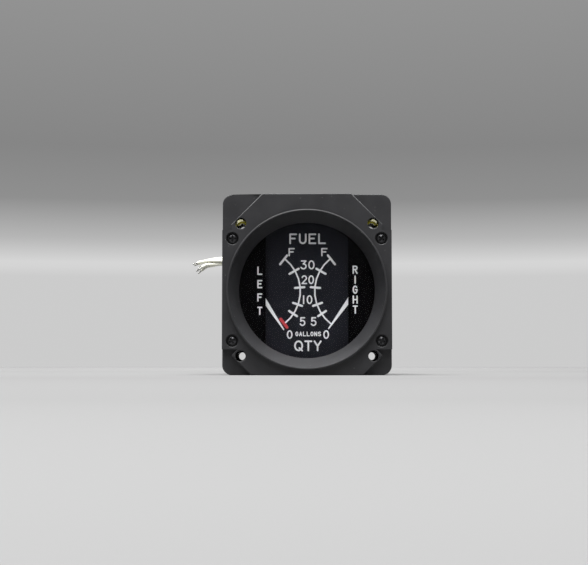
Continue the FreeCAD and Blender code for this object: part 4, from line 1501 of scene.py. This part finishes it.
@dataclass
class CrossScrews:
    """Screws with a rounded head and a cross recess. Sizes are in millimetres.

    Attributes:
        node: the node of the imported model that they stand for.
        spots: the screws' (x, z) places.
        seat: depth of the face under the heads.
        way: -1 where the heads stand forward of the seat, 1 where they stand back from it.
        head: the head's radius.
        tall: the head's height.
        length: the shank's length.
        turns: how far each recess is turned, in degrees.
        shank: the shank's radius.
        pitch: the thread's pitch.
        thread: the thread's depth.
        plain: length of shank under the head without thread.
        bare: length of shank without thread in all.
        tip: how much the shank narrows at its end.
        crown: how far the head's face falls from its middle to its rim, as a share of its height.
        cross: the recess's half length, half width and depth, as shares of the head's radius and height.
        lean: how much smaller the recess is at its floor.
        over: how far its cutter stands out of the head.
    """

    node: str
    spots: list[Point]
    seat: float
    way: int
    head: float
    tall: float
    length: float
    turns: tuple[float, ...]
    shank: float = 1.1
    pitch: float = 0.5
    thread: float = 0.12
    plain: float = 0.6
    bare: float = 1.0
    tip: float = 0.3
    crown: float = 0.5
    cross: tuple[float, float, float] = (0.76, 0.23, 0.95)
    lean: float = 0.7
    over: float = 0.2

    def outline(self) -> list[Point]:
        """Draw the screw's turned outline, with its head forward.

        Returns:
            Points of (radius, depth), where the seat is at depth 0.
        """
        crown = [(self.head * share, -self.tall * (1.0 - self.crown * share ** 2))
                 for share in (step / 8 for step in range(9))]
        shank = [(self.shank, 0.0), (self.shank, self.plain)]
        for row in range(int((self.length - self.bare) / self.pitch)):
            shank += [(self.shank - self.thread, self.plain + self.pitch * (row + 0.5)),
                      (self.shank, self.plain + self.pitch * (row + 1.0))]
        return [*crown, (self.head, 0.0), *shank, (self.shank - self.tip, self.length), (0.0, self.length)]

    def recess(self) -> Piece:
        """Make the cutter of the cross recess, with walls that lean in.

        Returns:
            The cutter, above the head's middle.
        """
        wing, thick, deep = self.cross[0] * self.head, self.cross[1] * self.head, self.cross[2] * self.tall
        cutters = []
        for across, along in ((wing, thick), (thick, wing)):
            outline = [(-across, -along), (across, -along), (across, along), (-across, along)]
            cutter = prism(outline, -self.tall - self.over, -self.tall + deep, "cross_cutter")
            for vertex in cutter.data.vertices:
                if vertex.co.y > -self.tall * MM:
                    vertex.co.x *= self.lean
                    vertex.co.z *= self.lean
            cutters.append(cutter)
        combine(cutters[0], cutters[1], "UNION")
        return cutters[0]

    def build(self, workshop: Workshop) -> None:
        """Make one screw, cut its recess, and put a turned copy at each place.

        Args:
            workshop: the maker of the materials.
        """
        screw = spin_profile(self.outline(), "screw", 40)
        combine(screw, self.recess(), "DIFFERENCE")
        smooth(screw, 40.0)
        facing = Matrix.Rotation(math.pi if self.way > 0 else 0.0, 4, "Z")
        places = [shift(across, self.seat, up) @ Matrix.Rotation(math.radians(turn), 4, "Y") @ facing
                  for (across, up), turn in zip(self.spots, self.turns)]
        workshop.dress(place_copies(screw, places, self.node + "_cross_head"), BLACK_SCREW, self.node)


@dataclass
class FlangedNuts:
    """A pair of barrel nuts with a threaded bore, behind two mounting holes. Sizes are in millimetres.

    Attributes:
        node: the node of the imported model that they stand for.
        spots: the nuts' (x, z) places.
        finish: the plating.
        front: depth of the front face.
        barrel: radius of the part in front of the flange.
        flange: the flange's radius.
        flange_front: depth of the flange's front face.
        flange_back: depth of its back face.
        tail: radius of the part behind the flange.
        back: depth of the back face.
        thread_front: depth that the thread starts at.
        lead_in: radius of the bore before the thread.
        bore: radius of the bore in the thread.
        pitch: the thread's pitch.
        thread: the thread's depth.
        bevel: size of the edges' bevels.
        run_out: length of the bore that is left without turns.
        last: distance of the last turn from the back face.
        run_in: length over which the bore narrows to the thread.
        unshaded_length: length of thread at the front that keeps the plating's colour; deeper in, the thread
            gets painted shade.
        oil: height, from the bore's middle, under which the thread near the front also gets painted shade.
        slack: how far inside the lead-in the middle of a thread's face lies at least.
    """

    node: str
    spots: list[Point]
    finish: Surface
    front: float
    barrel: float
    flange: float
    flange_front: float
    flange_back: float
    tail: float
    back: float
    thread_front: float
    lead_in: float
    bore: float = 1.43
    pitch: float = 0.794
    thread: float = 0.26
    bevel: float = 0.2
    run_out: float = 0.4
    last: float = 0.25
    run_in: float = 0.1
    unshaded_length: float = 2.4
    oil: float = 0.7
    slack: float = 0.02

    def outline(self) -> list[Point]:
        """Draw the nut's closed outline, with one ring for each turn of the thread.

        Returns:
            Points of (radius, depth).
        """
        bevel, root = self.bevel, self.bore + self.thread
        points = [(self.lead_in + bevel, self.front), (self.barrel - bevel, self.front),
                  (self.barrel, self.front + bevel), (self.barrel, self.flange_front),
                  (self.flange, self.flange_front), (self.flange, self.flange_back - bevel),
                  (self.flange - bevel, self.flange_back), (self.tail, self.flange_back),
                  (self.tail, self.back - bevel), (self.tail - bevel, self.back), (root, self.back)]
        for turn in range(int((self.back - self.thread_front - self.run_out) / self.pitch)):
            near = self.back - self.last - turn * self.pitch
            points += [(self.bore, near), (self.bore, near - self.pitch / 4), (root, near - 0.6 * self.pitch)]
        return [*points, (self.bore, self.thread_front + self.run_in), (self.lead_in, self.thread_front),
                (self.lead_in, self.front + bevel)]

    def is_painted_shade(self, face: bpy.types.MeshPolygon) -> bool:
        """Tell whether a face of the nut is thread that gets painted shade, deep in the bore or low near its
        front.
        """
        middle = face.center / MM
        depth = middle.y - self.thread_front
        inside = math.hypot(middle.x, middle.z) < self.lead_in - self.slack
        return inside and depth > 0.0 and (depth > self.unshaded_length or middle.z < self.oil)

    def build(self, workshop: Workshop) -> None:
        """Turn one nut and put a copy behind each hole.

        Args:
            workshop: the maker of the materials.
        """
        nut = spin_profile(self.outline(), "nut", 48)
        smooth(nut, 30.0)
        for finish in (self.finish, SHADED_THREAD):
            nut.data.materials.append(workshop.material(finish))
        # Painted shade: the near-black finish goes on the thread deep in the bore and on its lower side near
        # the front, where shade falls.
        for face in nut.data.polygons:
            face.material_index = int(self.is_painted_shade(face))
        pair = place_copies(nut, [shift(x, 0.0, z) for x, z in self.spots], self.node + "_threaded")
        painted_shade_indices = [face.material_index for face in pair.data.polygons]
        workshop.dress(pair, self.finish, self.node)
        pair.data.materials.append(workshop.material(SHADED_THREAD))
        pair.data.polygons.foreach_set("material_index", painted_shade_indices)


def main() -> None:
    """Light the scene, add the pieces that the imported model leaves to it, and dress everything."""
    logging.basicConfig(level=logging.INFO, format="%(name)s %(message)s")
    workshop = Workshop()
    bezel = Bezel()
    Studio(floor_level=-bezel.bottom * MM).build()
    Leads().build(workshop)
    workshop.dress_nodes()
    bezel.build(workshop)
    DialMarkings().build(workshop)
    cover_half = 16.044
    places = [(x * bezel.screw_x, z * bezel.screw_z) for x, z in bezel.corners]
    CrossScrews("bezel_screws", places, seat=bezel.sink_depth, way=-1, head=1.7, tall=1.3, length=10.6,
                turns=(62.0, 25.0, 0.0, 38.0)).build(workshop)
    places = [(x * cover_half, z * cover_half) for x, z in bezel.corners]
    CrossScrews("cover_screws", places, seat=65.0, way=1, head=2.0, tall=1.4, length=8.0,
                turns=(10.0, 50.0, 75.0, 33.0)).build(workshop)
    upper = [(x * bezel.hole_half, bezel.hole_half) for x in (-1, 1)]
    FlangedNuts("top_nuts", upper, YELLOW_ZINC, front=bezel.nut_web, barrel=3.0, flange=3.9,
                flange_front=12.6, flange_back=13.8, tail=2.6, back=24.5, thread_front=12.0,
                lead_in=1.8).build(workshop)
    FlangedNuts("bottom_nuts", [(x, -z) for x, z in upper], BLACK_SCREW, front=bezel.depth, barrel=2.6,
                flange=3.4, flange_front=12.6, flange_back=13.4, tail=2.55, back=18.4, thread_front=8.6,
                lead_in=1.75).build(workshop)


if __name__ == "__main__":
    main()
